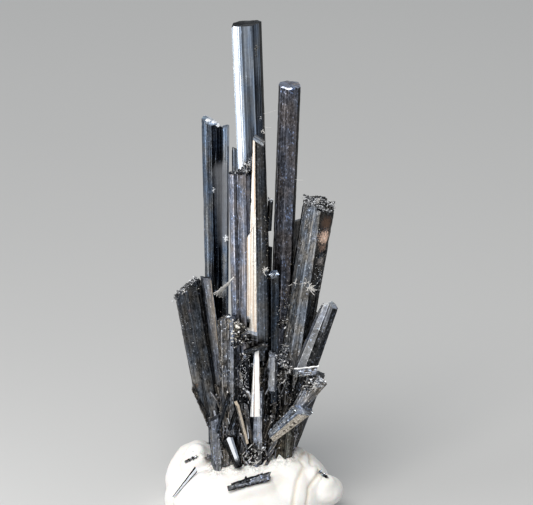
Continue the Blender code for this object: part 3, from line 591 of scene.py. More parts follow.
hazePatch = tuple(((-2.75 + 0.08 * i, 2.42 - 0.04 * i, 31.5 - 0.9 * i), 1.35, (0.24, 0.25, 0.27), 1.0)
                  for i in range(8))  # grey bloom down a rear prism
looks = {
    "tallStibnite": {"seed": 1.0, "cool": (0.74, 0.93, 1.26), "warm": (0.86, 0.97, 1.14), "ribContrast": 0.26,
                     "streaks": 0.36, "bands": 0.06, "gleam": 0.26, "fleckFrom": 0.74, "grit": 0.06, "mottle": 0.08,
                     "dust": -0.12, "highlightLines": 0.16, "speckle": 0.14, "hairlines": 0.45},
    "cleanStibnite": {"seed": 1.5, "dust": -0.1},
    "blueStibnite": {"seed": 2.0, "cool": (0.66, 0.90, 1.30), "warm": (0.94, 0.99, 1.06), "blue": 0.7,
                     "fleckFrom": 0.70, "dust": -0.08, "spots": hazePatch},
    "lilacStibnite": {"seed": 3.0, "cool": (0.80, 0.92, 1.22), "warm": (1.04, 0.97, 0.99), "blue": 0.6,
                      "fleckFrom": 0.64, "fleckTone": 0.25, "mottle": 0.34, "grit": 0.28, "ribContrast": 0.22,
                      "streaks": 0.34, "rough": 0.32, "dust": 0.0, "dustColours": greyDust},
    "speckledStibnite": {"seed": 3.5, "cool": (0.84, 0.92, 1.18), "warm": (1.04, 0.96, 1.00), "blue": 0.7,
                         "fleckFrom": 0.62, "fleckTone": 0.22, "mottle": 0.26, "grit": 0.30, "speckle": 0.55,
                         "ribContrast": 0.14, "streaks": 0.20, "rough": 0.34, "dust": 0.0},
    # The cream and white looks are for the bright front prisms, whose brightest faces are painted highlights.
    "creamStibnite": {"seed": 3.8, "fresh": (0.69, 0.66, 0.61), "highlightLines": 0.75, "lineTint": (0.50, 0.33, 0.20),
                      "mottle": 0.18, "grit": 0.24, "fleckFrom": 0.64, "fleckTone": 0.25, "rough": 0.32, "dust": 0.02,
                      "dustColours": greyDust},
    "whiteStibnite": {"seed": 3.9, "fresh": (1.0, 0.99, 0.97), "highlightLines": 0.12, "lineTint": (0.60, 0.42, 0.32),
                      "mottle": 0.10, "fleckFrom": 0.70, "rough": 0.35, "dust": -0.2, "dustCrown": 0.0, "edges": 0.0,
                      "dustColours": rustEdges},
    "dustyStibnite": {"seed": 4.0, "mottle": 0.20, "grit": 0.12, "pitShade": 0.08, "fleckFrom": 0.68, "rough": 0.36,
                      "ribContrast": 0.12, "streaks": 0.18, "gleam": 0.10, "dust": 0.0, "dustCrown": 0.24,
                      "dustColours": greyDust,
                      "spots": (((-5.1, -1.45, 12.3), 0.50, (0.34, 0.19, 0.10), 0.0),
                                ((-5.3, -1.45, 12.9), 0.35, (0.5, 0.6, 0.75), 0.0),
                                ((-5.7, -1.7, 19.6), 0.5, (0.10, 0.07, 0.07), 0.3))},
    "rustyStibnite": {"seed": 5.0, "mottle": 0.22, "grit": 0.16, "pitShade": 0.08, "fleckFrom": 0.66, "rough": 0.34,
                      "ribContrast": 0.22, "streaks": 0.30, "gleam": 0.26, "dust": -0.02, "dustCrown": 0.24,
                      "dustColours": greyDust,
                      "spots": (((6.75, -0.45, 27.6), 1.1, (0.09, 0.05, 0.03), 0.2),
                                ((6.60, -0.55, 26.2), 1.2, (0.82, 0.58, 0.46), 0.0),
                                ((6.45, -0.55, 25.2), 0.8, (0.30, 0.19, 0.14), 0.0),
                                ((6.3, -0.55, 23.9), 0.8, (0.34, 0.31, 0.30), 0.2))},
    "rootStibnite": {"seed": 6.0, "mottle": 0.24, "grit": 0.26, "pitShade": 0.12, "fleckFrom": 0.62, "fleckTone": 0.5,
                     "rough": 0.36, "streaks": 0.30, "dust": -0.02, "dustLow": 0.16, "cool": (0.90, 0.96, 1.10),
                     "warm": (1.10, 0.99, 0.86)},
    "satinStibnite": {"seed": 6.5, "mottle": 0.26, "grit": 0.34, "ribContrast": 0.16, "streaks": 0.30, "gleam": 0.2,
                      "fleckFrom": 0.62, "fleckTone": 0.3, "rough": 0.45, "dust": -0.03, "pitShade": 0.12,
                      "cool": (0.87, 0.95, 1.14), "warm": (0.98, 0.99, 1.02), "fresh": (0.92, 0.93, 0.94),
                      "dustColours": greyDust},
    "beigeStibnite": {"seed": 6.8, "cool": (1.0, 0.96, 0.92), "warm": (1.14, 0.99, 0.80), "streaks": 0.4,
                      "dust": -0.2, "rough": 0.4, "fresh": (0.80, 0.68, 0.54)},
    "oliveStibnite": {"seed": 6.9, "cool": (0.92, 0.92, 0.84), "warm": (1.10, 0.94, 0.70), "streaks": 0.5,
                      "grit": 0.3, "mottle": 0.3, "rough": 0.5, "dust": 0.04, "pitShade": 0.1},
    "etchedStibnite": {"seed": 7.0, "mottle": 0.24, "grit": 0.12, "rough": 0.30, "dust": -0.16,
                       "dustColours": khakiDust, "cool": (0.78, 0.94, 1.24), "warm": (0.92, 0.98, 1.06)},
}
finishes = {name: stibniteFinish(name, {**plainLook, **look}) for name, look in looks.items()}
print("finishes written:", len(finishes))


plainShape = {"Rib width": 0.17, "Rib depth": 0.05, "Fade length": 5.0, "Broken top": 0.1, "Chips": 0.06,
              "Pits": 0.0, "Seed": 1.0}


def makePrisms(name, growth, finish, shape):
    thing = addObject(name, growth.mesh(name))
    runTree(thing, ribs, {**plainShape, **shape, "Material": finishes[finish]})
    settle(thing, "crystal_spray")


# The tall prism's face tones paint its light and shade: a painted white highlight down the left faces, dark faces on
# the right, and some faces lighter or darker towards the top.
tallPrism = Growth()
tallPrism.prism((0.99, 0.0, 3.6), (-0.56, 0.8, 45.9), sized("tall", 2.7, 1.70), footScale=0.85,
                ends=((3.0, -120.0, 0.0), (45.0, 185.0, -1.12)), topToneAndShade=(0.16, 0.5),
                toneAndShade=(0.87, 0.98, 0.90, 0.74, 0.49, 0.50, 0.46, 0.68, 0.34, 0.12, 0.20, 0.34, 0.42, 0.30),
                step=0.04,
                toneAndShadeAlong={5: ((0.0, 0.9), (36.5, 0.9), (38.5, 1.2), (46.0, 1.35)),
                       7: ((0.0, 1.0), (38.5, 1.0), (40.5, 0.6), (46.0, 0.6)),
                       8: ((0.0, 0.95), (36.5, 0.95), (39.0, 1.25), (46.0, 1.1))})
makePrisms("tallPrism", tallPrism, "tallStibnite",
           {"Rib width": 0.11, "Rib depth": 0.035, "Fade length": 9.0, "Broken top": 0.06, "Chips": 0.04,
            "Seed": 3.0})

# The second end face (tone 0.91) is a painted highlight on the tip, and the front faces are painted darker over the
# lower part of their length.
rightTallPrism = Growth()
rightTallPrism.prism((1.99, 0.4, 3.6), (3.29, 1.0, 40.2), sized("rightTall", 2.0, 1.62), footScale=0.9,
                     ends=((8.0, -85.0, 0.0), (57.0, -95.0, -0.86), (50.0, -25.0, -0.97)),
                     topToneAndShade=(0.66, 0.91, 0.76), toneAndShade=(0.26, 0.34, 0.36, 0.10, 0.2, 0.3, 0.3, 0.3),
                     step=0.045, rowStep=0.4,
                     rings=(0.9, 0.8, 0.65, 0.45, 0.25),
                     toneAndShadeAlong={side: ((0.0, 0.8), (20.0, 0.82), (26.0, 1.0)) for side in (0, 1, 2)})
makePrisms("rightTallPrism", rightTallPrism, "speckledStibnite",
           {"Rib width": 0.15, "Rib depth": 0.035, "Broken top": 0.04, "Pits": 0.03, "Seed": 5.0})

# The first rear prism's bright end faces are painted highlights on its tip, and two of its faces are painted lighter
# and darker along the length.
rearPrisms = Growth()
rearPrisms.prism((-3.25, 1.6, 5.0), (-3.72, 3.2, 36.2), sized("rear", 1.85, 1.38), footScale=0.9,
                 ends=((33.0, 0.0, 0.0), (30.0, -70.0, 0.05), (5.0, 180.0, -0.36)), topToneAndShade=(0.92, 0.8, 1.05),
                 toneAndShade=(0.52, 0.25, 0.15, 0.27, 0.2, 0.3, 0.3, 0.3), rings=(0.85, 0.65, 0.45, 0.25),
                 toneAndShadeAlong={0: ((0.0, 0.7), (14.0, 0.75), (20.0, 1.0)), 2: ((0.0, 1.2), (30.0, 1.0))})
rearPrisms.prism((-2.68, 1.8, 5.0), (-2.48, 3.3, 35.6), sized("hexagon", 0.78, 0.9), ends=((14.0, 180.0, 0.0),),
                 toneAndShade=(0.54, 0.62, 0.58, 0.3, 0.3, 0.3), topToneAndShade=0.6)
rearPrisms.prism((-1.39, 1.5, 5.0), (-1.44, 3.0, 33.5), sized("octagon", 0.95, 0.9), ends=((25.0, 10.0, 0.0),),
                 toneAndShade=0.46)
makePrisms("rearPrisms", rearPrisms, "blueStibnite", {"Rib width": 0.20, "Broken top": 0.06, "Seed": 7.0})

frontLeftPrisms = Growth()
frontLeftPrisms.bundle((-0.65, -1.2, 5.0), (-1.11, -1.0, 32.8), (
    (-0.62, 0.05, 0.95, 1.25, 0.10, 8.0, 160.0),
    (0.12, -0.18, 1.10, 1.30, 0.00, 6.0, -90.0),
    (0.72, 0.12, 0.80, 1.00, 0.35, 15.0, 10.0),
), footScale=0.95, rowStep=0.3, toneAndShade=(
    (0.56, 0.50, 0.46, 0.42, 0.3, 0.3, 0.3, 0.3), (0.40, 0.48, 0.54, 0.46, 0.3, 0.3, 0.3, 0.3),
    (0.36, 0.50, 0.42, 0.32, 0.2, 0.3, 0.3, 0.3)))
makePrisms("frontLeftPrisms", frontLeftPrisms, "lilacStibnite",
           {"Rib width": 0.13, "Rib depth": 0.05, "Broken top": 0.22, "Pits": 0.03, "Seed": 9.0})

# The bright front prism: its first face (tone 1.0) is a painted highlight that fades into painted shadow at the foot,
# its side faces are painted darker at the foot and lighter a little above, and the step beside it carries the same
# painted highlight.
brightPrism = Growth()
sideShadingAlong = ((0.0, 0.7), (1.4, 0.8), (2.6, 1.6), (7.0, 1.5), (11.0, 1.0), (21.0, 1.0))
brightFaceShading = {0: ((0.0, 0.08), (2.0, 0.12), (2.9, 1.0), (21.0, 1.0)), 1: sideShadingAlong, 2: sideShadingAlong}
brightPrism.prism((0.45, -1.8, 15.2), (0.56, -1.5, 35.9), outlines["brightTip"], footOutline=outlines["brightFoot"],
                  ends=((22.0, 20.0, 0.0),), topToneAndShade=0.4, toneAndShade=(1.0, 0.27, 0.25, 0.24, 0.3, 0.3), step=0.04,
                  rowStep=0.3, toneAndShadeAlong=brightFaceShading)
brightPrism.prism((-0.22, -1.97, 18.2), (-0.20, -1.78, 27.4), outlines["brightStep"], ends=((66.0, 190.0, 0.0),),
                  toneAndShade=(1.0, 0.5, 0.3, 0.3, 0.3), topToneAndShade=0.8, step=0.04, rowStep=0.3,
                  toneAndShadeAlong={0: ((0.0, 0.1), (0.3, 0.1), (1.2, 1.0), (9.0, 1.0))})  # the painted highlight face widens here
brightPrism.prism((0.10, -1.72, 36.15), (1.06, -1.72, 35.55), sized("blade", 0.42, 0.62), turn=20.0,
                  ends=((12.0, 0.0, 0.0),), toneAndShade=0.66)
brightPrism.prism((1.42, -1.2, 27.2), (1.58, -1.35, 30.3), sized("rhomb", 0.52, 0.5), ends=((30.0, 0.0, 0.0),),
                  toneAndShade=0.2, topToneAndShade=0.9)
makePrisms("brightPrism", brightPrism, "creamStibnite",
           {"Rib width": 0.12, "Rib depth": 0.03, "Fade length": 14.0, "Broken top": 0.1, "Seed": 11.0})

# Its front face (tone 1.1) is a painted white highlight.
lowerBrightPrism = Growth()
lowerBrightPrism.prism((0.27, -2.6, 16.5), (0.18, -3.2, 10.2), outlines["lowerBright"],
                       footOutline=outlines["lowerBrightFoot"], ends=((6.0, 0.0, 0.0),), topToneAndShade=0.5, step=0.04,
                       toneAndShade=(0.3, 0.3, 0.5, 1.1, 0.5, 0.60, 0.3, 0.3),
                       stains=(0.0, 0.0, 3.0, 0.0, 3.0, 0.0, 0.0, 0.0), rowStep=0.3)
makePrisms("lowerBrightPrism", lowerBrightPrism, "whiteStibnite",
           {"Rib depth": 0.02, "Broken top": 0.02, "Seed": 12.0})

stubPrism = Growth()
stubPrism.prism((1.89, -1.6, 10.0), (1.89, -1.6, 23.3), sized("hexagon", 0.95, 1.0), ends=((24.0, -100.0, 0.0),),
                toneAndShade=(0.34, 0.26, 0.30, 0.2, 0.3, 0.3), topToneAndShade=0.74, rowStep=0.3)
makePrisms("stubPrism", stubPrism, "blueStibnite",
           {"Rib width": 0.13, "Broken top": 0.2, "Pits": 0.05, "Seed": 14.0})

# Face 1 of the main prism is painted light: a brighter band beside the ridge that grows brighter towards the foot.
leaningRightPrisms = Growth()
leaningRightPrisms.prism((2.08, 0.2, 4.2), (5.93, 0.3, 29.1), sized("leaningRight", 3.0, 2.30),
                         footOutline=outlines["leaningRightFoot"], ends=((4.0, 0.0, 0.0),), step=0.05, rowStep=0.3,
                         toneAndShade=(0.3, 0.50, 0.24, 0.16, 0.3, 0.3, 0.3, 0.3),
                         toneAndShadeAlong={1: ((0.0, 1.3), (12.0, 1.25), (18.0, 1.0), (25.0, 1.0))})
leaningRightPrisms.bundle((2.08, 0.2, 4.2), (6.02, 0.3, 30.0), (
    (-1.02, 0.05, 0.85, 1.10, 0.30, 12.0, 170.0),
    (-0.35, -0.35, 0.95, 1.05, 0.00, 9.0, -60.0),
    (0.35, -0.30, 0.90, 1.00, 0.25, 14.0, 20.0),
    (0.95, 0.12, 0.85, 1.00, 0.50, 11.0, 40.0),
    (0.10, 0.60, 1.30, 0.95, 0.15, 8.0, 90.0),
), footScale=0.82, rowStep=0.3, toneAndShade=(
    (0.36, 0.48, 0.42, 0.3, 0.3, 0.3, 0.3, 0.3), (0.44, 0.52, 0.70, 0.60, 0.3, 0.3, 0.3, 0.3),
    (0.50, 0.34, 0.24, 0.2, 0.2, 0.3, 0.3, 0.3), (0.2, 0.2, 0.20, 0.18, 0.2, 0.3, 0.3, 0.3),
    (0.3, 0.3, 0.3, 0.3, 0.3, 0.3, 0.3, 0.3)))
makePrisms("leaningRightPrisms", leaningRightPrisms, "rustyStibnite",
           {"Rib width": 0.14, "Rib depth": 0.06, "Broken top": 0.42, "Chips": 0.09, "Pits": 0.07, "Seed": 16.0})

shortRightPrism = Growth()
shortRightPrism.prism((2.48, -0.9, 6.0), (6.98, -0.65, 19.9), sized("shortRight", 1.5, 1.2), footScale=0.9,
                      toneAndShade=0.2)
# The upper prism's end faces are painted highlights, and its left faces are painted darker in a band part way up and
# lighter above it.
shortRightPrism.prism((4.90, -1.0, 13.6), (7.03, -0.8, 20.2), sized("shortRight", 1.6, 1.34),
                      footOutline=outlines["shortRightFoot"],
                      ends=((26.0, 170.0, 0.0), (22.0, -20.0, 0.05)), topToneAndShade=(1.0, 0.82),
                      toneAndShade=(0.64, 0.66, 0.28, 0.22, 0.2, 0.3, 0.3), rowStep=0.3, rings=(0.9, 0.75, 0.55, 0.3),
                      toneAndShadeAlong={1: ((0.0, 1.05), (3.0, 1.0), (4.4, 0.8), (4.9, 1.1), (7.0, 1.2)),
                             2: ((0.0, 1.0), (4.4, 0.85), (4.9, 1.5), (7.0, 1.6))})
makePrisms("shortRightPrism", shortRightPrism, "satinStibnite", {"Broken top": 0.06, "Pits": 0.04, "Seed": 18.0})

leftBreak = ((-5.45, 0.0, 11.8), (-0.90, 0.0, -0.43))
leaningLeftPrisms = Growth()
leaningLeftPrisms.prism((-3.03, -0.6, 4.2), (-5.90, -0.8, 22.0), sized("leaningLeft", 2.7, 1.90), footScale=0.78,
                        ends=((30.0, 180.0, 0.0), (12.0, -60.0, -0.25)), breakPlane=leftBreak,
                        toneAndShade=(0.28, 0.27, 0.14, 0.2, 0.3, 0.3, 0.3), step=0.05, rowStep=0.3,
                        toneAndShadeAlong={side: ((0.0, 2.0), (8.0, 1.7), (11.0, 1.1), (18.0, 1.0)) for side in (0, 1, 2)})
leaningLeftPrisms.bundle((-3.03, -0.6, 4.2), (-5.90, -0.8, 22.4), (
    (-0.98, 0.05, 0.74, 1.05, 1.30, 28.0, 185.0),
    (-0.20, -0.28, 0.90, 0.95, 0.55, 24.0, 200.0),
    (0.72, -0.20, 0.90, 1.05, -0.05, 14.0, 170.0),
    (0.10, 0.50, 1.60, 0.95, 0.45, 20.0, 150.0),
), footScale=0.78, breakPlane=leftBreak, rowStep=0.3,
    toneAndShade=((0.30, 0.30, 0.26, 0.3, 0.3, 0.3, 0.3, 0.3), (0.26, 0.27, 0.24, 0.2, 0.3, 0.3, 0.3, 0.3),
           (0.24, 0.24, 0.22, 0.10, 0.2, 0.3, 0.3, 0.3), (0.3, 0.3, 0.3, 0.3, 0.3, 0.3, 0.3, 0.3)))
makePrisms("leaningLeftPrisms", leaningLeftPrisms, "dustyStibnite",
           {"Rib width": 0.15, "Rib depth": 0.06, "Broken top": 0.40, "Chips": 0.09, "Pits": 0.08, "Seed": 20.0})

leftPalePrism = Growth()
leftPalePrism.prism((-1.83, -1.2, 5.0), (-4.30, -0.9, 22.8), sized("blade", 0.95, 1.1), turn=18.0, footScale=1.1,
                    ends=((18.0, 20.0, 0.0),), toneAndShade=(0.56, 0.62, 0.78, 0.3, 0.3, 0.3), rowStep=0.3)
makePrisms("leftPalePrism", leftPalePrism, "satinStibnite",
           {"Broken top": 0.3, "Rib depth": 0.03, "Pits": 0.05, "Seed": 22.0})
print("main prisms grown")


# the foot of the spray
rootPrisms = Growth()
coarse = {"step": 0.08, "rowStep": 0.35}
rootPrisms.prism((0.10, 0.0, 2.4), (0.20, 0.1, 9.6), sized("octagon", 6.6, 5.3), footScale=0.92,
                 ends=((4.0, 10.0, 0.0),), toneAndShade=0.2, **coarse)
rootPrisms.bundle((0.1, 0.0, 5.0), (0.3, 0.1, 15.5), (
    (-2.20, -0.90, 1.70, 1.80, 1.6, 14.0, 200.0),
    (-0.95, -1.35, 1.50, 1.60, 0.2, 18.0, 250.0),
    (0.35, -1.25, 1.60, 1.60, 0.9, 16.0, 280.0),
    (1.65, -1.15, 1.60, 1.70, 0.0, 20.0, 300.0),
    (2.60, -0.35, 1.50, 1.90, 1.4, 22.0, 330.0),
    (-2.60, 0.50, 1.60, 1.90, 2.4, 17.0, 150.0),
    (-1.20, 0.60, 2.10, 2.10, 0.4, 10.0, 100.0),
    (0.70, 0.60, 2.30, 2.10, -0.8, 12.0, 60.0),
    (2.20, 0.90, 1.70, 1.80, 1.9, 15.0, 40.0),
    (-0.60, 1.90, 1.90, 1.50, 2.6, 18.0, 110.0),
    (1.20, 1.90, 1.70, 1.50, 3.4, 21.0, 70.0),
), footScale=0.95, toneAndShade=((0.30, 0.36, 0.24, 0.18, 0.24, 0.3, 0.26, 0.22),) * 11, **coarse)
rootPlans = (
    # foot, tip, outline, width, depth, turn, foot scale, ends, tones of painted light and shade, top tone
    ((2.55, -0.7, 3.4), (3.75, -0.6, 10.9), "octagon", 2.0, 3.0, 0.0, 0.85, ((24.0, 175.0, 0.0),),
     (0.2, 0.24, 0.2, 0.22, 0.2, 0.3, 0.3, 0.3), 0.3),
    ((-3.55, -1.1, 7.6), (-5.50, -1.2, 12.4), "blade", 0.55, 0.9, 0.0, 1.0, ((35.0, 180.0, 0.0),), 0.32, 0.4),
    ((-2.30, -1.9, 5.0), (-2.55, -1.7, 19.2), "octagon", 1.35, 1.2, 0.0, 1.0, ((20.0, 200.0, 0.0),),
     (0.3, 0.38, 0.42, 0.30, 0.2, 0.3, 0.3, 0.3), 0.4),
    ((-3.10, -1.0, 5.1), (-4.45, -1.0, 5.5), "hexagon", 0.5, 0.6, 0.0, 1.0, ((20.0, 0.0, 0.0),), 0.35, 0.8),
    ((3.70, -1.9, 10.0), (6.35, -2.1, 13.4), "octagon", 1.35, 1.4, 0.0, 1.0, ((20.0, 60.0, 0.0),),
     (0.46, 0.52, 0.40, 0.26, 0.2, 0.3, 0.3, 0.3), 0.7),
)
rootPrisms.fromPlans(rootPlans, **coarse)
makePrisms("rootPrisms", rootPrisms, "rootStibnite",
           {"Rib width": 0.16, "Rib depth": 0.09, "Broken top": 0.3, "Chips": 0.09, "Pits": 0.16, "Seed": 24.0})

satinRootPrisms = Growth()
satinRootPrisms.fromPlans((
    ((-3.15, -1.55, 3.4), (-3.45, -1.35, 9.6), "hexagon", 1.35, 2.1, 0.0, 0.92, ((30.0, 180.0, 0.0),),
     (0.4, 0.56, 0.48, 0.3, 0.3, 0.3), 0.4),
    ((-1.75, -2.0, 8.0), (-1.80, -2.0, 19.3), "blade", 0.5, 0.8, -25.0, 1.0, ((25.0, 0.0, 0.0),),
     (0.5, 0.56, 0.44, 0.3, 0.3, 0.3), 0.5),
    ((0.40, -2.15, 7.4), (0.40, -2.35, 12.6), "octagon", 1.2, 1.3, 0.0, 1.0, ((0.0, 0.0, 0.0),),
     (0.4, 0.60, 0.76, 0.50, 0.3, 0.3, 0.3, 0.3), 0.4),
    ((0.30, -2.05, 5.0), (0.45, -2.15, 8.2), "hexagon", 0.9, 1.2, 20.0, 1.2, ((30.0, 200.0, 0.0),),
     (0.4, 0.50, 0.58, 0.3, 0.3, 0.3), 0.5),
    ((1.78, -2.0, 12.3), (1.85, -2.2, 15.9), "blade", 0.85, 1.0, -20.0, 1.0, ((30.0, 20.0, 0.0),),
     (0.5, 0.70, 0.46, 0.3, 0.3, 0.3), 0.8),
    ((3.55, -1.9, 9.6), (4.95, -2.0, 12.4), "octagon", 1.0, 1.0, 0.0, 1.0, ((35.0, 100.0, 0.0),),
     (0.56, 0.62, 0.40, 0.2, 0.2, 0.3, 0.3, 0.3), 0.5),
    # A thin prism toned as a painted highlight line along the edge of the ledge.
    ((3.70, -2.52, 14.45), (6.05, -2.52, 14.72), "rhomb", 0.22, 0.24, 0.0, 1.0, ((10.0, 0.0, 0.0),), 0.98, 0.9),
    ((4.15, -2.2, 13.95), (5.80, -2.3, 14.15), "octagon", 0.85, 0.7, 0.0, 1.0, ((10.0, 0.0, 0.0),), 0.60, 0.5),
), step=0.06, rowStep=0.25)
makePrisms("satinRootPrisms", satinRootPrisms, "satinStibnite",
           {"Rib width": 0.13, "Rib depth": 0.05, "Broken top": 0.2, "Chips": 0.08, "Pits": 0.10, "Seed": 25.0})

beigeSplinter = Growth()
beigeSplinter.prism((-0.55, -2.9, 7.4), (-1.45, -3.0, 11.3), sized("rhomb", 0.34, 0.34), ends=((25.0, 0.0, 0.0),),
                    toneAndShade=(0.66, 0.92, 0.5, 0.5), topToneAndShade=1.0, rowStep=0.2)
beigeSplinter.prism((-1.45, -3.05, 11.2), (-1.62, -3.05, 11.6), sized("rhomb", 0.3, 0.3), toneAndShade=1.0, rowStep=0.1)
beigeSplinter.prism((-2.11, -1.75, 6.0), (-3.80, -1.40, 22.6), sized("rhomb", 0.11, 0.38), rowStep=0.3, toneAndShade=0.94,
                    ends=((18.0, 20.0, 0.0),),
                    toneAndShadeAlong={side: ((0.0, 0.2), (8.0, 0.3), (11.0, 1.0), (17.0, 1.0)) for side in range(4)})
makePrisms("beigeSplinter", beigeSplinter, "beigeStibnite", {"Rib depth": 0.02, "Broken top": 0.08, "Seed": 27.0})

darkRootBlades = Growth()
# The lens: face 2 (tone 1.12) is a painted white highlight streak, and faces 2 and 3 fade into painted shadow at its
# lower end.
darkRootBlades.prism((-1.30, -2.85, 5.1), (-2.36, -2.75, 8.1), sized("lens", 1.25, 0.9), footScale=0.6,
                     rowStep=0.15, ends=((30.0, 20.0, 0.0), (26.0, 180.0, 0.05)), topToneAndShade=(0.1, 0.1),
                     toneAndShade=(0.05, 0.10, 1.12, 0.80, 0.12, 0.1, 0.2, 0.2),
                     toneAndShadeAlong={side: ((0.0, 0.1), (0.7, 0.3), (1.2, 1.0), (4.0, 1.0)) for side in (2, 3)})
darkRootBlades.fromPlans((
    ((-3.25, -2.4, 8.3), (-2.20, -2.7, 12.0), "blade", 0.34, 0.7, 8.0, 1.0, ((40.0, 180.0, 0.0),),
     (0.2, 0.14, 0.12, 0.2, 0.2, 0.2), 0.2),
    ((-0.75, -2.7, 16.1), (1.40, -3.0, 17.1), "blade", 0.75, 0.5, 70.0, 1.0,
     ((40.0, 90.0, 0.0), (40.0, -90.0, 0.0)), 0.20, 0.2),
    ((-2.10, -2.5, 8.6), (-0.95, -2.75, 12.2), "blade", 0.5, 0.5, 20.0, 1.0, ((40.0, 180.0, 0.0),), 0.16, 0.2),
    ((-0.55, -2.5, 10.6), (-0.75, -2.6, 15.2), "blade", 0.8, 0.5, 0.0, 1.0, ((40.0, 180.0, 0.0),), 0.10, 0.2),
), rowStep=0.2)
makePrisms("darkRootBlades", darkRootBlades, "cleanStibnite", {"Rib depth": 0.03, "Broken top": 0.08, "Seed": 26.0})

etchedPrisms = Growth()
etchedPrisms.prism((1.66, -2.25, 7.9), (4.45, -2.95, 10.72), sized("etched", 1.6, 1.7), footScale=0.72,
                   ends=((36.0, 184.0, 0.0),), toneAndShade=(0.46, 0.4, 0.4, 0.3, 0.2, 0.3), topToneAndShade=0.78,
                   stains=(0.0, 1.7, 1.7, 0.8, 0.0, 0.0), rowStep=0.15)
makePrisms("etchedPrisms", etchedPrisms, "etchedStibnite",
           {"Rib depth": 0.05, "Broken top": 0.03, "Pits": 0.12, "Seed": 28.0})

olivePrisms = Growth()
olivePrisms.fromPlans((
    ((2.75, -1.75, 5.0), (3.05, -1.95, 9.6), "octagon", 1.6, 1.5, 0.0, 1.0, ((25.0, 30.0, 0.0),),
     (0.2, 0.26, 0.32, 0.24, 0.2, 0.2, 0.2, 0.2), 0.3),
    ((2.05, -2.0, 5.2), (2.45, -2.2, 7.9), "blade", 0.7, 0.8, 20.0, 1.0, ((35.0, 180.0, 0.0),),
     (0.2, 0.28, 0.22, 0.2, 0.2, 0.2), 0.3),
    ((3.20, -1.6, 5.4), (3.55, -1.7, 8.9), "blade", 0.5, 0.8, -30.0, 1.0, ((30.0, 0.0, 0.0),),
     (0.2, 0.34, 0.26, 0.2, 0.2, 0.2), 0.3),
), rowStep=0.25)
makePrisms("olivePrisms", olivePrisms, "oliveStibnite",
           {"Rib depth": 0.06, "Chips": 0.09, "Pits": 0.12, "Seed": 29.0})

backPrisms = Growth()
backPlans = (
    # foot x, foot y, tip x, tip y, tip z, width, depth, turn
    (-1.2, 1.2, -0.9, 3.6, 27.2, 1.8, 1.5, 10.0),
    (0.6, 1.4, 1.1, 4.3, 24.0, 1.5, 1.4, -20.0),
    (2.0, 1.2, 3.6, 3.9, 26.4, 1.7, 1.5, 25.0),
    (2.6, 1.0, 5.1, 3.6, 17.4, 1.9, 1.6, 5.0),
    (-2.6, 1.0, -5.2, 3.0, 17.6, 1.9, 1.5, -15.0),
    (-2.2, 1.6, -3.2, 5.2, 15.4, 1.7, 1.4, 30.0),
    (-0.2, 1.8, -0.6, 5.9, 16.4, 1.9, 1.6, 12.0),
    (1.6, 1.8, 2.7, 5.3, 14.2, 1.4, 1.3, -10.0),
    (3.0, 0.8, 6.0, 2.2, 12.4, 1.3, 1.2, 40.0),
)
for number, (footX, footY, tipX, tipY, tipZ, width, depth, turn) in enumerate(backPlans):
    draw = random.Random(40 + number)
    kind = "octagon" if number % 2 else "hexagon"
    backPrisms.prism((footX, footY, 4.4), (tipX, tipY, tipZ), sized(kind, width, depth), turn=turn, footScale=0.85,
                     ends=((12.0 + 5.0 * (number % 4), 70.0 * number, 0.0),), topToneAndShade=draw.uniform(0.2, 0.7),
                     toneAndShade=[draw.choice((0.18, 0.28, 0.36, 0.48, 0.62 if side > 3 else 0.3)) for side in range(8)])
makePrisms("backPrisms", backPrisms, "dustyStibnite",
           {"Rib width": 0.16, "Rib depth": 0.06, "Broken top": 0.2, "Seed": 30.0})

fan = {"seed": 14, "needles": 26, "from": -15.0, "sweep": 210.0, "ring": (3.0, 2.1), "heights": (5.6, 8.5),
       "leans": (0.22, 0.55), "lengths": (2.6, 6.0), "widths": (0.45, 1.0)}
frontBlades = {"seed": 23, "blades": 22, "halfWidth": 3.0, "front": -2.35, "curve": 0.10, "heights": (5.0, 10.5),
               "fanning": 0.16, "crossing": 0.28, "lengths": (1.4, 3.4), "widths": (0.26, 0.62)}
rootNeedles = Growth()
draw = random.Random(fan["seed"])
tint = random.Random(3)
for number in range(fan["needles"]):  # a fan round the sides and the back
    bearing = math.radians(fan["from"] + fan["sweep"] * (number + draw.random()) / fan["needles"])
    low = draw.uniform(*fan["heights"])
    lean = draw.uniform(*fan["leans"])
    length = draw.uniform(*fan["lengths"])
    foot = Vector((fan["ring"][0] * math.cos(bearing), fan["ring"][1] * math.sin(bearing), low))
    outward = Vector((math.cos(bearing), math.sin(bearing), 0.0))
    tip = foot + (upward + outward * lean).normalized() * length
    size = draw.uniform(*fan["widths"])
    kind = draw.choice(("hexagon", "rhomb", "blade"))
    outline = sized(kind, size, size * draw.uniform(0.7, 1.1))
    rootNeedles.prism(foot, tip, outline, turn=draw.uniform(0.0, 90.0), step=0.09, rowStep=1.2,
                      ends=((draw.uniform(8.0, 38.0), draw.uniform(0.0, 360.0), 0.0),),
                      toneAndShade=[tint.uniform(0.12, 0.5) for _ in outline], topToneAndShade=tint.uniform(0.2, 0.8))
draw = random.Random(frontBlades["seed"])
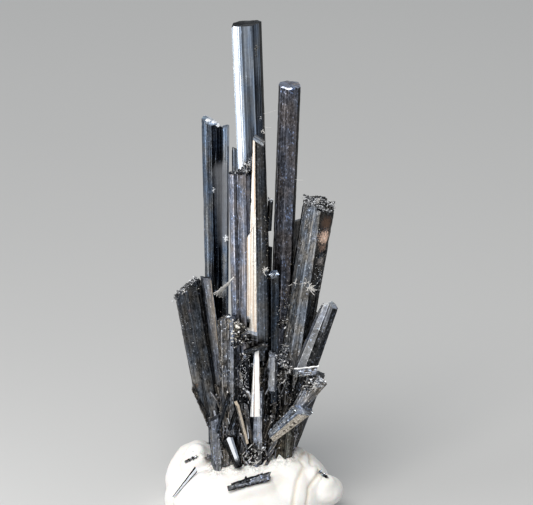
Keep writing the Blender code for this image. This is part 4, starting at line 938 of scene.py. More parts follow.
for number in range(frontBlades["blades"]):  # thin blades that lean across the front
    across = frontBlades["halfWidth"] * 2.0 * (number + draw.random()) / frontBlades["blades"]
    across = across - frontBlades["halfWidth"]
    face = frontBlades["front"] + frontBlades["curve"] * across * across
    foot = Vector((across, face, draw.uniform(*frontBlades["heights"])))
    lean = frontBlades["fanning"] * across + draw.uniform(-frontBlades["crossing"], frontBlades["crossing"])
    direction = Vector((lean, draw.uniform(-0.16, -0.02), 1.0)).normalized()
    tip = foot + direction * draw.uniform(*frontBlades["lengths"])
    width = draw.uniform(*frontBlades["widths"])
    outline = sized(draw.choice(("rhomb", "blade")), width, width * draw.uniform(0.8, 1.3))
    rootNeedles.prism(foot, tip, outline, turn=draw.uniform(-50.0, 50.0), footScale=1.2, step=0.09, rowStep=0.8,
                      ends=((draw.uniform(15.0, 50.0), draw.choice((0.0, 180.0)), 0.0),),
                      toneAndShade=[tint.uniform(0.10, 0.5) for _ in outline], topToneAndShade=tint.uniform(0.2, 0.8))
makePrisms("rootNeedles", rootNeedles, "rootStibnite",
           {"Rib width": 0.14, "Rib depth": 0.05, "Broken top": 0.15, "Seed": 32.0})
print("root grown")


# the matrix that fills the grooves between the crystals of the root
crust = {
    "top": 17.0, "voxel": 0.14, "passes": 6, "sink": 0.13,
    "thinFrom": 9.0, "thinOver": 6.0, "thinBy": 0.16,  # it gets thinner from this height upwards
    "bumps": ((0.8, 0.10), (2.6, 0.07), (5.5, 0.05)),  # how fine, how high
    # The colours start near black: the dark grit of the matrix, together with painted shade in the grooves between the
    # root crystals.
    "stops": ((0.0, (0.005, 0.005, 0.005)), (0.42, (0.030, 0.025, 0.021)), (0.66, (0.115, 0.097, 0.078)),
              (0.88, (0.26, 0.23, 0.19)), (1.0, (0.70, 0.68, 0.64))),
    "fills": ("rootPrisms", "satinRootPrisms", "tallPrism", "rightTallPrism", "rearPrisms", "frontLeftPrisms",
              "leaningRightPrisms", "leaningLeftPrisms", "shortRightPrism", "backPrisms"),
}


def joinedMesh(names, top=None):
    joined = bmesh.new()
    for name in names:
        joined.from_mesh(bpy.data.objects[name].data)
    if top:
        everything = joined.verts[:] + joined.edges[:] + joined.faces[:]
        cut = bmesh.ops.bisect_plane(joined, geom=everything, dist=1e-7, plane_co=(0.0, 0.0, top * mm),
                                     plane_no=(0.0, 0.0, 1.0), clear_outer=True)
        bmesh.ops.holes_fill(joined, edges=cutEdges(cut))
    return joined


def cutEdges(cut):
    return [item for item in cut["geom_cut"] if isinstance(item, bmesh.types.BMEdge)]


def meshOf(shape, name):
    mesh = bpy.data.meshes.new(name)
    shape.to_mesh(mesh)
    shape.free()
    return mesh


def arraysOf(mesh):
    points, normals = np.empty(len(mesh.vertices) * 3), np.empty(len(mesh.vertices) * 3)
    mesh.vertices.foreach_get("co", points)
    mesh.vertex_normals.foreach_get("vector", normals)
    return points.reshape(-1, 3) / mm, normals.reshape(-1, 3)


def largestIsland(mesh):  # drops the small hollows that the remesh leaves inside
    shape = bmesh.new()
    shape.from_mesh(mesh)
    unseen, islands = set(shape.verts), []
    while unseen:
        front, island = [unseen.pop()], []
        while front:
            vert = front.pop()
            island.append(vert)
            fresh = [other for other in (edge.other_vert(vert) for edge in vert.link_edges) if other in unseen]
            unseen.difference_update(fresh)
            front += fresh
        islands.append(island)
    islands.sort(key=len)
    bmesh.ops.delete(shape, geom=[vert for island in islands[:-1] for vert in island], context="VERTS")
    return meshOf(shape, mesh.name)


def crustFinish():
    r = FinishRecipe("rootCrust")
    place = r.place()
    grain, broad = r.noise(place, 5.0, 3.0, 0.75), r.noise(place, 0.9, 3.0, 0.6)
    spark = r.noise(place, 7.0, 1.0, 0.5)
    level = (grain + (broad - 0.5) * 0.5).between(0.3, 0.7, False)
    colour = r.node("ShaderNodeValToRGB", {"stops": crust["stops"]}, {0: level})
    shiny = spark.between(0.60, 0.64)
    colour = r.mixed(shiny, colour, (0.50, 0.52, 0.56))
    bump = r.node("ShaderNodeBump", {}, {"Strength": 0.8, "Distance": 0.00006, "Height": grain + spark})
    return r.finish({"Base Color": colour, "Roughness": 0.75 - shiny * 0.45, "Metallic": shiny, "Normal": bump})


def makeCrust():
    thing = addObject("rootCrust", meshOf(joinedMesh(crust["fills"], crust["top"]), "rootCrust"))
    remesh = thing.modifiers.new("oneSkin", "REMESH")
    remesh.mode, remesh.voxel_size = "VOXEL", crust["voxel"] * mm
    soften = thing.modifiers.new("fillGrooves", "SMOOTH")
    soften.factor, soften.iterations = 0.5, crust["passes"]
    keepResult(thing, remesh, soften)
    thing.data = largestIsland(thing.data)
    points, normals = arraysOf(thing.data)
    push = np.array([sum(high * noise.noise(Vector(point) * fine) for fine, high in crust["bumps"])
                     for point in points])
    fade = np.clip((points[:, 2] - crust["thinFrom"]) / crust["thinOver"], 0.0, 1.0)
    points += normals * (push - crust["sink"] - crust["thinBy"] * fade)[:, None]
    thing.data.vertices.foreach_set("co", (points * mm).ravel())
    thing.data.update()
    thing.data.materials.append(crustFinish())
    settle(thing, "crystal_spray")


makeCrust()


def shardShapes(count, seed):  # a few angular chips that the trees pick from, each face with a tone of its own
    draw = random.Random(seed)
    shelf = bpy.data.collections.new("shardShapes")
    for number in range(count):
        shape = bmesh.new()
        stretch = (draw.uniform(0.3, 0.6), draw.uniform(0.5, 0.9), draw.uniform(0.8, 1.3))
        for _ in range(8):
            point = Vector([draw.gauss(0.0, 1.0) for _ in range(3)]).normalized() * draw.uniform(0.75, 1.0)
            shape.verts.new([point[axis] * stretch[axis] for axis in range(3)])
        bmesh.ops.convex_hull(shape, input=shape.verts[:])
        bmesh.ops.delete(shape, geom=[vert for vert in shape.verts if not vert.link_faces], context="VERTS")
        bmesh.ops.recalc_face_normals(shape, faces=shape.faces[:])
        facet = shape.faces.layers.float.new("facet")
        for face in shape.faces:
            face[facet] = draw.random()
        shelf.objects.link(bpy.data.objects.new(f"shard{number}", meshOf(shape, f"shard{number}")))
    return shelf


grainInputs = {
    "Smallest": ("Float", 0.03), "Largest": ("Float", 0.09), "Length": ("Float", 1.0), "Seed": ("Int", 1),
    "Material": ("Material", None),
}


def chipsOn(r, shelf, points):  # a chip on every point, each turned, sized and toned by chance
    chips = r.node("GeometryNodeCollectionInfo", {}, {0: shelf, 1: True, 2: True})
    seed = r.input("Seed")
    turn = r.node("FunctionNodeRandomValue", {"data_type": "FLOAT_VECTOR"},
                  {0: (0.0, 0.0, 0.0), 1: (6.28, 6.28, 6.28), 8: seed})
    small, large = r.input("Smallest") * mm, r.input("Largest") * mm
    size = r.node("FunctionNodeRandomValue", {"data_type": "FLOAT"}, {2: small, 3: large, 8: seed + 1.0}, 1)
    size = r.vector(size, size, size * r.input("Length"))
    heap = r.node("GeometryNodeInstanceOnPoints", {}, {0: points, 2: chips, 3: True, 5: turn, 6: size})
    toneHere = r.node("FunctionNodeRandomValue", {"data_type": "FLOAT"}, {2: 0.0, 3: 1.0, 8: seed + 2.0}, 1)
    return r.close(r.stored(heap, "grainTone", toneHere, "INSTANCE"))


def heapTree(shelf):  # chips on the points of a mesh
    r = GrowthRecipe("grainHeap", grainInputs)
    return chipsOn(r, shelf, r.node("GeometryNodeMeshToPoints", {}, {0: r.input("Geometry")}))


def dustTree(shelf):  # chips scattered over faces, thick at the root and on broken ends
    r = GrowthRecipe("grainDust", {
        **grainInputs, "Per square mm": ("Float", 5.0), "Thick below": ("Float", 14.0),
        "Gone above": ("Float", 24.0), "Patch": ("Float", 0.5), "Patch size": ("Float", 0.8),
        "On broken ends": ("Float", 1.5),
    })
    position = r.scaled(r.node("GeometryNodeInputPosition"), 1.0 / mm)
    height = r.parts(position)[2]
    low = 1.0 - r.node("ShaderNodeMapRange", {}, {0: height, 1: r.input("Thick below"), 2: r.input("Gone above")})
    patchy = r.noise(position, 1.0 / r.input("Patch size"), 3.0, 0.6)
    patchy = r.node("ShaderNodeMapRange", {}, {0: patchy, 1: r.input("Patch"), 2: r.input("Patch") + 0.12})
    density = low * patchy + r.named("crown") * r.input("On broken ends")
    points = r.node("GeometryNodeDistributePointsOnFaces", {"distribute_method": "RANDOM"},
                    {0: r.input("Geometry"), 4: r.input("Per square mm") * 1.0e6 * density.clamped(0.0, 1.5),
                     6: r.input("Seed")})
    return chipsOn(r, shelf, points)


def grainFinish(name, metallic, facets, stops):
    r = FinishRecipe(name)
    tone, facet = r.attribute("grainTone"), r.attribute("facet")
    grit = r.noise(r.place(), 7.0, 3.0, 0.7)
    level = (tone + (grit - 0.5) * 0.4 + (facet - 0.5) * facets).clamped()
    colour = r.node("ShaderNodeValToRGB", {"stops": stops}, {0: level})
    return r.finish({"Base Color": colour, "Roughness": (0.26 + grit * 0.5).clamped(),
                     "Metallic": (1.0 - tone.between(metallic - 0.05, metallic + 0.05, False))})


grainLooks = {
    # how many of the grains are metal, contrast between facets, colours
    "rubbleGrains": (0.62, 0.9, ((0.0, (0.005, 0.005, 0.006)), (0.48, (0.028, 0.027, 0.028)),
                                 (0.70, (0.13, 0.12, 0.11)), (0.88, (0.42, 0.40, 0.37)), (1.0, (0.95, 0.95, 0.96)))),
    "frothGrains": (0.30, 0.8, ((0.0, (0.02, 0.02, 0.023)), (0.40, (0.13, 0.13, 0.14)),
                                (0.75, (0.40, 0.41, 0.43)), (1.0, (0.82, 0.84, 0.87)))),
    # white blobs of painted highlight
    "blobGrains": (0.05, 0.2, ((0.0, (0.86, 0.91, 0.98)), (1.0, (1.0, 1.0, 1.0)))),
    "paleGrains": (0.25, 0.7, ((0.0, (0.03, 0.028, 0.026)), (0.35, (0.20, 0.18, 0.15)),
                               (0.65, (0.46, 0.42, 0.35)), (1.0, (0.92, 0.90, 0.85)))),
    "sparkGrains": (0.85, 1.1, ((0.0, (0.010, 0.012, 0.018)), (0.40, (0.07, 0.085, 0.115)),
                                (0.65, (0.30, 0.35, 0.44)), (1.0, (1.0, 1.0, 1.0)))),
    # white grains of painted glint
    "whiteGrains": (0.05, 0.5, ((0.0, (0.30, 0.34, 0.40)), (0.4, (0.72, 0.77, 0.84)), (1.0, (1.0, 1.0, 1.0)))),
    # near-black grains of painted shade in pits
    "pitGrains": (0.05, 0.5, ((0.0, (0.008, 0.005, 0.003)), (1.0, (0.05, 0.032, 0.02)))),
    "dustGrains": (0.10, 0.4, ((0.0, (0.02, 0.017, 0.012)), (0.35, (0.12, 0.095, 0.06)),
                               (0.65, (0.34, 0.29, 0.21)), (0.85, (0.62, 0.57, 0.48)), (1.0, (0.90, 0.89, 0.86)))),
}
finishes.update({name: grainFinish(name, *look) for name, look in grainLooks.items()})
shelf = shardShapes(12, 77)
heap, dusting = heapTree(shelf), dustTree(shelf)


def makeHeap(name, spots, finish, values):
    mesh = bpy.data.meshes.new(name)
    mesh.from_pydata([tuple(spot * mm) for spot in spots], [], [])
    thing = addObject(name, mesh)
    runTree(thing, heap, {"Length": 1.0, **values, "Material": finishes[finish]})
    settle(thing, "crystal_spray")


rubbleBeds = (
    # middle x, y, z, spread x, y, z, lumps, size
    (-1.30, -2.1, 17.6, 0.60, 0.25, 1.10, 7, 0.50),
    (2.60, -1.9, 14.8, 0.65, 0.30, 1.60, 8, 0.52),
    (5.60, -2.0, 13.3, 0.45, 0.30, 0.40, 4, 0.42),
    (0.70, -2.5, 6.2, 1.10, 0.30, 0.90, 7, 0.48),
    (2.40, -1.3, 18.6, 0.50, 0.30, 1.20, 4, 0.45),
    (-0.30, 2.4, 8.0, 2.30, 0.50, 1.60, 8, 0.60),
    (4.90, -2.3, 12.6, 0.55, 0.30, 0.60, 4, 0.36),
)
frothRims = (
    # left end, right end, grains, spread
    ((-7.05, -0.95, 20.6), (-5.00, -1.00, 22.6), 240, 0.27),
    ((4.60, -0.35, 30.1), (7.40, -0.20, 29.2), 200, 0.25),
    ((4.66, -1.00, 29.9), (6.95, -0.90, 28.9), 130, 0.16),
    ((-1.75, -1.35, 32.8), (-0.45, -1.40, 33.0), 80, 0.15),
    ((-0.85, -1.25, 33.2), (-0.15, -1.20, 33.9), 60, 0.20),
)
grainsPerLump, lumpSpread = 30, 0.40
draw = random.Random(5)
spots, rimSpots = [], []
for x, y, z, spreadX, spreadY, spreadZ, lumps, size in rubbleBeds:
    for _ in range(lumps):
        centre = Vector((x + draw.uniform(-spreadX, spreadX), y + draw.uniform(-spreadY, spreadY),
                         z + draw.uniform(-spreadZ, spreadZ)))
        for _ in range(grainsPerLump):
            offset = Vector([draw.gauss(0.0, lumpSpread) for _ in range(3)]) * size
            spots.append(centre + offset)
for left, right, grains, size in frothRims:
    for number in range(grains):
        centre = Vector(left).lerp(Vector(right), (number + 0.5) / grains)
        rimSpots.append(centre + Vector([draw.uniform(-1.0, 1.0) * size for _ in range(3)]))
makeHeap("rubble", spots, "rubbleGrains", {"Smallest": 0.07, "Largest": 0.24, "Seed": 3})
makeHeap("froth", rimSpots, "frothGrains", {"Smallest": 0.05, "Largest": 0.19, "Seed": 4})


def scatter(name, sources, finish, values):
    thing = addObject(name, meshOf(joinedMesh(sources), name))
    runTree(thing, dusting, {"Length": 1.0, "Patch size": 0.8, "On broken ends": 1.5, **values,
                             "Material": finishes[finish]})
    settle(thing, "crystal_spray")


scatter("rootDust", ("rootPrisms", "rootNeedles", "etchedPrisms", "stubPrism", "rootCrust"),
        "dustGrains",
        {"Smallest": 0.03, "Largest": 0.09, "Per square mm": 6.0, "Thick below": 15.0, "Gone above": 22.0,
         "Patch": 0.46, "Seed": 5})
scatter("prismDust", ("leaningLeftPrisms", "leaningRightPrisms", "backPrisms", "brightPrism", "frontLeftPrisms",
                      "rightTallPrism", "shortRightPrism"), "dustGrains",
        {"Smallest": 0.03, "Largest": 0.08, "Per square mm": 2.5, "Thick below": 15.0, "Gone above": 34.0,
         "Patch": 0.54, "Seed": 8})
scatter("rootGrains", ("rootCrust",), "rubbleGrains",
        {"Smallest": 0.07, "Largest": 0.22, "Per square mm": 5.0, "Thick below": 15.0, "Gone above": 17.5,
         "Patch": 0.47, "Patch size": 1.4, "Seed": 11})
scatter("rootSplinters", ("rootCrust", "rubble"), "rubbleGrains",
        {"Smallest": 0.03, "Largest": 0.07, "Length": 7.0, "Per square mm": 1.4, "Thick below": 16.0,
         "Gone above": 18.5, "Patch": 0.40, "Patch size": 1.2, "Seed": 13})
print("grains scattered")


crystals = ("rootPrisms", "tallPrism", "rightTallPrism", "rearPrisms", "frontLeftPrisms", "leaningRightPrisms",
            "leaningLeftPrisms", "leftPalePrism", "shortRightPrism", "brightPrism", "lowerBrightPrism", "stubPrism",
            "darkRootBlades", "etchedPrisms", "olivePrisms", "satinRootPrisms", "rootNeedles", "rootCrust", "rubble")
surface = BVHTree.FromBMesh(joinedMesh(crystals))


# the place on the crystals that is seen there from the front, in millimetres
def frontSpot(across, up, lift=0.0, on=surface):
    aim = view["target"] + rightward * across + viewUp * up
    hit, normal, _, _ = on.ray_cast(viewEye * mm, (aim - viewEye).normalized())
    return hit / mm + normal * lift if hit else None


rootSurface = BVHTree.FromBMesh(joinedMesh(("rootPrisms", "rootNeedles", "rootCrust")))
needleBeds = (
    # seed, needles, across, up, how far they cross one another, length, width, tones (the brightest are painted glints)
    (92, 120, (-5.0, 3.6), (-19.0, -8.8), 0.26, (0.5, 2.1), (0.10, 0.34), (0.10, 0.14, 0.20, 0.28, 0.40, 0.55, 0.95)),
    (93, 34, (-1.9, 0.7), (-19.3, -17.6), 0.70, (0.5, 1.4), (0.12, 0.34), (0.06, 0.10, 0.20, 0.34, 0.55, 0.80, 1.0)),
    (94, 12, (-2.6, -1.6), (-18.8, -17.6), 0.40, (0.5, 1.2), (0.06, 0.14), (0.10, 0.30, 0.70, 1.0)),
)
frontNeedles = Growth()
for seed, needles, acrossRange, upRange, crossing, lengths, widths, needleToneAndGlint in needleBeds:
    draw = random.Random(seed)
    for number in range(needles):  # they lie over the front of the root, more or less along the fan
        across, up = draw.uniform(*acrossRange), draw.uniform(*upRange)
        spot = frontSpot(across, up, 0.0, rootSurface)
        if not spot:
            continue
        direction = Vector((0.07 * (across + 0.6) + draw.gauss(0.0, crossing), draw.gauss(-0.05, 0.12), 1.0))
        direction = direction.normalized()
        length, width = draw.uniform(*lengths), draw.uniform(*widths)
        toneAndShade = [draw.choice(needleToneAndGlint) for _ in range(4)]
        half = direction * (length * 0.5)
        frontNeedles.prism(spot - half + viewBack * 0.02, spot + half + viewBack * 0.1,
                           sized("rhomb", width, width * 0.8), turn=draw.uniform(-45.0, 45.0), toneAndShade=toneAndShade,
                           ends=((draw.uniform(10.0, 50.0), draw.uniform(0.0, 360.0), 0.0),), step=0.09,
                           rowStep=0.4, topToneAndShade=draw.uniform(0.2, 1.0))
makePrisms("frontNeedles", frontNeedles, "rootStibnite", {"Rib width": 0.1, "Rib depth": 0.03, "Seed": 34.0})

# Among the clusters, the white glint grains are painted glints, the highlight blobs painted highlights, and the pit
# grains painted shade in the pits of the etched prism.
clusters = (
    # across, up, spread across, spread up, grains, finish, smallest, largest
    (-2.57, -7.00, 0.62, 0.90, 110, "paleGrains", 0.08, 0.26),
    (-2.10, -9.60, 0.50, 0.60, 40, "rubbleGrains", 0.06, 0.20),
    (-2.10, -11.6, 0.60, 1.80, 150, "frothGrains", 0.05, 0.16),
    (1.60, -9.60, 0.60, 1.20, 110, "sparkGrains", 0.05, 0.20),
    (3.90, -12.0, 0.55, 0.50, 70, "rubbleGrains", 0.05, 0.20),
    (5.00, -11.30, 0.50, 0.45, 70, "sparkGrains", 0.05, 0.20),
    (3.60, -10.90, 0.90, 0.25, 50, "paleGrains", 0.04, 0.13),
    (-0.90, -18.6, 1.20, 0.60, 40, "rubbleGrains", 0.04, 0.12),
    (0.70, -14.4, 1.00, 2.00, 130, "rubbleGrains", 0.04, 0.14),
    (2.00, -12.6, 1.00, 1.00, 80, "rubbleGrains", 0.04, 0.16),
    (1.90, -4.50, 0.80, 1.50, 80, "dustGrains", 0.03, 0.10),
    (5.00, -1.10, 0.60, 2.30, 70, "paleGrains", 0.03, 0.09),
    (4.90, -2.30, 0.60, 1.30, 50, "whiteGrains", 0.03, 0.10),
    (-7.60, -6.60, 0.35, 1.20, 24, "whiteGrains", 0.03, 0.08),
    (1.60, -4.90, 0.60, 1.40, 26, "whiteGrains", 0.03, 0.07),
    (4.90, 1.30, 0.45, 0.70, 40, "dustGrains", 0.03, 0.09),
    (-6.90, -7.90, 1.10, 3.20, 60, "sparkGrains", 0.03, 0.08),
    (-4.10, -9.00, 0.40, 4.00, 50, "paleGrains", 0.03, 0.09),
    (-0.95, 18.2, 0.22, 0.45, 22, "dustGrains", 0.03, 0.09),
    (-0.60, 12.0, 0.22, 0.20, 14, "sparkGrains", 0.04, 0.14),
    (-1.70, 7.70, 0.42, 0.55, 50, "paleGrains", 0.03, 0.12),
    (0.05, 1.00, 0.30, 2.80, 50, "paleGrains", 0.03, 0.08),
    (0.10, 6.50, 0.25, 2.20, 30, "dustGrains", 0.03, 0.07),
    (-5.29, 11.90, 0.10, 0.10, 9, "blobGrains", 0.24, 0.32),
    (-4.72, 11.70, 0.14, 0.08, 9, "blobGrains", 0.18, 0.28),
    (-4.38, 11.45, 0.14, 0.12, 9, "blobGrains", 0.16, 0.26),
    (2.50, -15.35, 0.09, 0.05, 9, "pitGrains", 0.06, 0.13),
    (2.18, -15.68, 0.09, 0.05, 9, "pitGrains", 0.06, 0.13),
    (1.55, -16.05, 0.08, 0.05, 8, "pitGrains", 0.05, 0.12),
    (2.85, -15.15, 0.06, 0.04, 5, "pitGrains", 0.04, 0.09),
    (-4.75, 5.60, 0.10, 0.30, 14, "whiteGrains", 0.06, 0.12),
    (-3.65, 1.20, 0.14, 0.28, 26, "blobGrains", 0.10, 0.18),
    (0.40, 4.74, 0.22, 0.12, 14, "whiteGrains", 0.08, 0.16),
    (4.40, -11.9, 0.45, 0.35, 36, "whiteGrains", 0.05, 0.16),
    (4.85, -11.4, 0.35, 0.25, 24, "whiteGrains", 0.05, 0.13),
    (1.50, -9.40, 0.45, 1.00, 34, "whiteGrains", 0.04, 0.13),
    (-4.30, -0.80, 0.60, 1.20, 30, "sparkGrains", 0.03, 0.07),
)
clusterRules = {"seed": 19, "spread": 0.55, "lift": 0.02, "firstSeed": 60}
draw = random.Random(clusterRules["seed"])
for number, (across, up, spreadAcross, spreadUp, grains, finish, smallest, largest) in enumerate(clusters):
    spots = [frontSpot(across + draw.gauss(0.0, clusterRules["spread"]) * spreadAcross,
                       up + draw.gauss(0.0, clusterRules["spread"]) * spreadUp, clusterRules["lift"])
             for _ in range(grains)]
    makeHeap(f"cluster{number:02d}", [spot for spot in spots if spot], finish,
             {"Smallest": smallest, "Largest": largest, "Seed": clusterRules["firstSeed"] + number})


def fibreTree():
    r = GrowthRecipe("lintFibres", {"Thickness": ("Float", 0.03), "Material": ("Material", None)})
    lines = r.node("GeometryNodeMeshToCurve", {}, {0: r.input("Geometry")})
    smooth = r.node("GeometryNodeSubdivideCurve", {}, {0: lines, 1: 1})
    radius = r.input("Thickness") * (0.5 * mm)
    section = r.node("GeometryNodeCurvePrimitiveCircle", {"mode": "RADIUS"}, {0: 4, 4: radius})
    return r.close(r.node("GeometryNodeCurveToMesh", {}, {0: smooth, 1: section, 3: True}))


def lintFinish():
    r = FinishRecipe("whiteLint")
    shade = r.noise(r.place(), 3.0, 2.0)
    return r.finish({"Base Color": r.mixed(shade, (0.97, 0.96, 0.95), (0.74, 0.71, 0.66)),
                     "Roughness": 0.6 + shade * 0.3})


finishes["whiteLint"] = lintFinish()
fibres = fibreTree()


def makeLint(name, strands, thickness):  # each strand is a row of points in millimetres
    points, edges = [], []
    for strand in strands:
        edges += [(len(points) + i, len(points) + i + 1) for i in range(len(strand) - 1)]
        points += [tuple(point * mm) for point in strand]
    mesh = bpy.data.meshes.new(name)
    mesh.from_pydata(points, edges, [])
    thing = addObject(name, mesh)
    runTree(thing, fibres, {"Thickness": thickness, "Material": finishes["whiteLint"]})
    settle(thing, "crystal_spray")


def strandFrom(start, direction, length, curl, draw, pieces=6):
    bend = Vector([draw.gauss(0.0, 1.0) for _ in range(3)]).normalized() * curl
    point, heading, strand = start, direction.normalized(), [start]
    for _ in range(pieces):
        heading = (heading + bend / pieces).normalized()
        bend = bend + Vector([draw.gauss(0.0, 0.5) for _ in range(3)]) * curl
        point = point + heading * (length / pieces)
        strand.append(point)
    return strand


lintTufts = (
    # across, up, strands, length, curl, thickness, pull across, pull up
    (3.90, -3.20, 34, 0.62, 0.7, 0.055, 0.0, 0.0),
    (3.55, -2.75, 8, 0.80, 0.8, 0.040, -0.6, 0.3),
    (2.45, -2.70, 8, 0.60, 1.4, 0.045, 0.3, 0.0),
    (-0.20, -1.55, 20, 0.55, 0.9, 0.050, 0.0, 0.0),
    (-1.75, 7.85, 22, 0.50, 0.8, 0.040, 0.0, 0.5),
    (-7.40, -3.50, 12, 0.35, 0.9, 0.030, -0.3, 0.3),
    (4.60, 4.60, 16, 0.35, 0.9, 0.030, 0.0, 0.4),
    (5.60, 4.30, 12, 0.35, 0.9, 0.030, 0.3, 0.2),
    (-0.35, 11.0, 9, 0.42, 1.6, 0.045, -0.3, 0.0),
    (4.30, -12.1, 12, 0.50, 0.9, 0.045, 0.0, 0.0),
    (1.70, -8.40, 10, 0.45, 0.6, 0.050, 0.3, 0.6),
    (-0.90, -18.9, 12, 0.60, 0.5, 0.040, 0.0, 0.5),
)
lint = {"seed": 31, "footSpread": 0.06, "outward": 0.25, "lengths": (0.5, 1.1), "hairSpread": 0.12, "hairSteps": 6}
draw = random.Random(lint["seed"])
for number, (across, up, strands, length, curl, thickness, pullAcross, pullUp) in enumerate(lintTufts):
    foot = frontSpot(across, up)
    made = []
    for _ in range(strands):
        direction = (Vector([draw.gauss(0.0, 1.0) for _ in range(3)]).normalized() + viewBack * lint["outward"]
                     + rightward * pullAcross + viewUp * pullUp)
        start = foot + Vector([draw.gauss(0.0, lint["footSpread"]) for _ in range(3)])
        made.append(strandFrom(start, direction, length * draw.uniform(*lint["lengths"]), curl, draw))
    makeLint(f"lintTuft{number:02d}", made, thickness)

hairs = (
    # start across, up, end across, up, sag, thickness, strands, whether it lands on the crystals again
    (-4.45, -3.70, -2.90, -2.20, 0.10, 0.085, 26, True),
    (-4.25, -3.95, -3.60, -2.90, 0.10, 0.060, 8, False),
    (-0.30, 12.50, 0.95, 12.85, 0.05, 0.022, 1, False),
    (-0.30, 11.35, 0.45, 11.25, 0.06, 0.022, 1, False),
    (2.55, 6.60, 3.30, 6.52, 0.04, 0.024, 1, False),
    (-3.20, -5.10, -2.60, -4.40, 0.10, 0.024, 2, False),
)
for number, (startAcross, startUp, endAcross, endUp, sag, thickness, strands, lands) in enumerate(hairs):
    start = frontSpot(startAcross, startUp, 0.05) or frontSpot(endAcross, endUp)
    sight = (view["target"] + rightward * endAcross + viewUp * endUp - viewEye).normalized()
    end = viewEye + sight * ((start - viewEye).dot(viewBack) / sight.dot(viewBack))
    if lands:
        end = frontSpot(endAcross, endUp, 0.12)
    made = []
    for _ in range(strands):
        spread = 0.0 if strands == 1 else lint["hairSpread"]
        strand = []
        for step in range(lint["hairSteps"] + 1):
            share = step / lint["hairSteps"]
            loose = Vector([draw.gauss(0.0, 1.0) for _ in range(3)]) * spread * (1.1 - share)
            strand.append(start.lerp(end, share) - upward * (sag * 4.0 * share * (1.0 - share)) + loose)
        made.append(strand)
    makeLint(f"hair{number:02d}", made, thickness)
print("clusters and lint placed")


splinterShape = {"Rib width": 0.10, "Rib depth": 0.04, "Fade length": 1.5, "Broken top": 0.12, "Chips": 0.05,
                 "Pits": 0.04}


def looseSplinter(node, members, finish, shape):
    growth = Growth()
    for foot, tip, outline, width, depth, turn, footScale, toneAndShade, topToneAndShade in members:
        growth.prism(foot, tip, sized(outline, width, depth), turn=turn, footScale=footScale,
                     ends=((25.0, 30.0, 0.0),), toneAndShade=toneAndShade, topToneAndShade=topToneAndShade, step=0.04, rowStep=0.14)
    thing = addObject(node + "Detail", growth.mesh(node))
    runTree(thing, ribs, {**splinterShape, **shape, "Material": finishes[finish]})
    settle(thing, node)


def chipCluster(foot, tip, width, count, seed):  # small crystals that cross one another along a line
    draw = random.Random(seed)
    foot, tip = Vector(foot), Vector(tip)
    members = [(foot, tip, "rhomb", width, width * 0.7, 0.0, 0.7, (0.2, 0.5, 0.3, 0.1), 0.8)]
    for number in range(count):
        middle = foot.lerp(tip, (number + 0.5) / count)
        lean = Vector([draw.uniform(-1.0, 1.0) for _ in range(3)]).normalized()
        reach = width * draw.uniform(0.35, 0.75)
        members.append((middle - lean * reach, middle + lean * reach, draw.choice(("rhomb", "blade")), width * 0.7,
                        width * 0.5, draw.uniform(0.0, 90.0), 0.8, draw.uniform(0.1, 0.7), draw.uniform(0.3, 1.0)))
    return members


looseSplinter("loose_shard", (
    ((-2.27, -5.59, 4.08), (1.58, -4.40, 4.83), "blade", 0.90, 0.64, 20.0, 0.60, (0.3, 0.34, 0.18, 0.2, 0.2, 0.3), 0.3),
    ((-1.90, -5.35, 4.15), (-0.20, -5.02, 4.66), "rhomb", 0.45, 0.45, 5.0, 0.6, (0.14, 0.20, 0.16, 0.1), 0.5),
    ((-0.30, -5.10, 4.52), (1.45, -4.52, 4.95), "blade", 0.42, 0.38, 30.0, 0.8, (0.3, 0.50, 0.30, 0.2, 0.2, 0.3), 0.6),
    ((-0.70, -5.12, 4.52), (1.20, -4.52, 4.90), "rhomb", 0.16, 0.20, 0.0, 1.0, (0.3, 0.9, 0.8, 0.3), 0.7),
    ((-1.60, -5.56, 4.30), (0.30, -5.02, 4.56), "rhomb", 0.14, 0.16, 0.0, 1.0, (0.5, 0.7, 0.6, 0.3), 0.7),
    ((-1.95, -5.15, 4.25), (0.90, -4.35, 4.90), "blade", 0.50, 0.40, 35.0, 0.8, (0.3, 0.14, 0.34, 0.2, 0.2, 0.3), 0.3),
    ((-2.27, -5.66, 4.04), (-0.10, -5.08, 4.40), "rhomb", 0.34, 0.34, 0.0, 0.5, (0.16, 0.24, 0.16, 0.3), 0.3),
    ((-0.95, -5.02, 4.38), (-0.55, -4.72, 4.95), "rhomb", 0.34, 0.30, 40.0, 0.7, 0.16, 0.3),
    ((0.20, -4.98, 4.62), (0.70, -4.66, 5.00), "blade", 0.32, 0.24, 10.0, 0.7, 0.5, 0.8),
    ((1.10, -4.70, 4.66), (1.68, -4.42, 4.70), "rhomb", 0.34, 0.34, 0.0, 0.7, 0.24, 0.9),
), "satinStibnite", {"Seed": 41.0, "Broken top": 0.2, "Pits": 0.08})
# The loose blade's two broad faces are painted highlights between dark edges.
looseSplinter("loose_blade", (
    ((-7.25, -3.40, 2.37), (-5.13, -2.51, 4.81), "flake", 0.52, 0.20, 20.0, 0.42,
     (0.05, 1.0, 0.05, 0.05, 1.0, 0.05), 0.1),
), "cleanStibnite", {"Seed": 43.0, "Rib depth": 0.01, "Pits": 0.0})
looseSplinter("loose_chip_left", chipCluster((-6.22, -1.24, 4.97), (-5.08, -1.04, 5.43), 0.36, 7, 45),
              "cleanStibnite", {"Seed": 45.0})
looseSplinter("loose_chip_rear", chipCluster((-5.56, -0.48, 5.56), (-5.22, -0.11, 5.82), 0.28, 2, 47),
              "cleanStibnite", {"Seed": 47.0})
looseSplinter("loose_chip_right", chipCluster((5.99, -2.86, 4.72), (6.76, -3.15, 4.15), 0.34, 5, 49),
              "cleanStibnite", {"Seed": 49.0})
print("splinters laid")


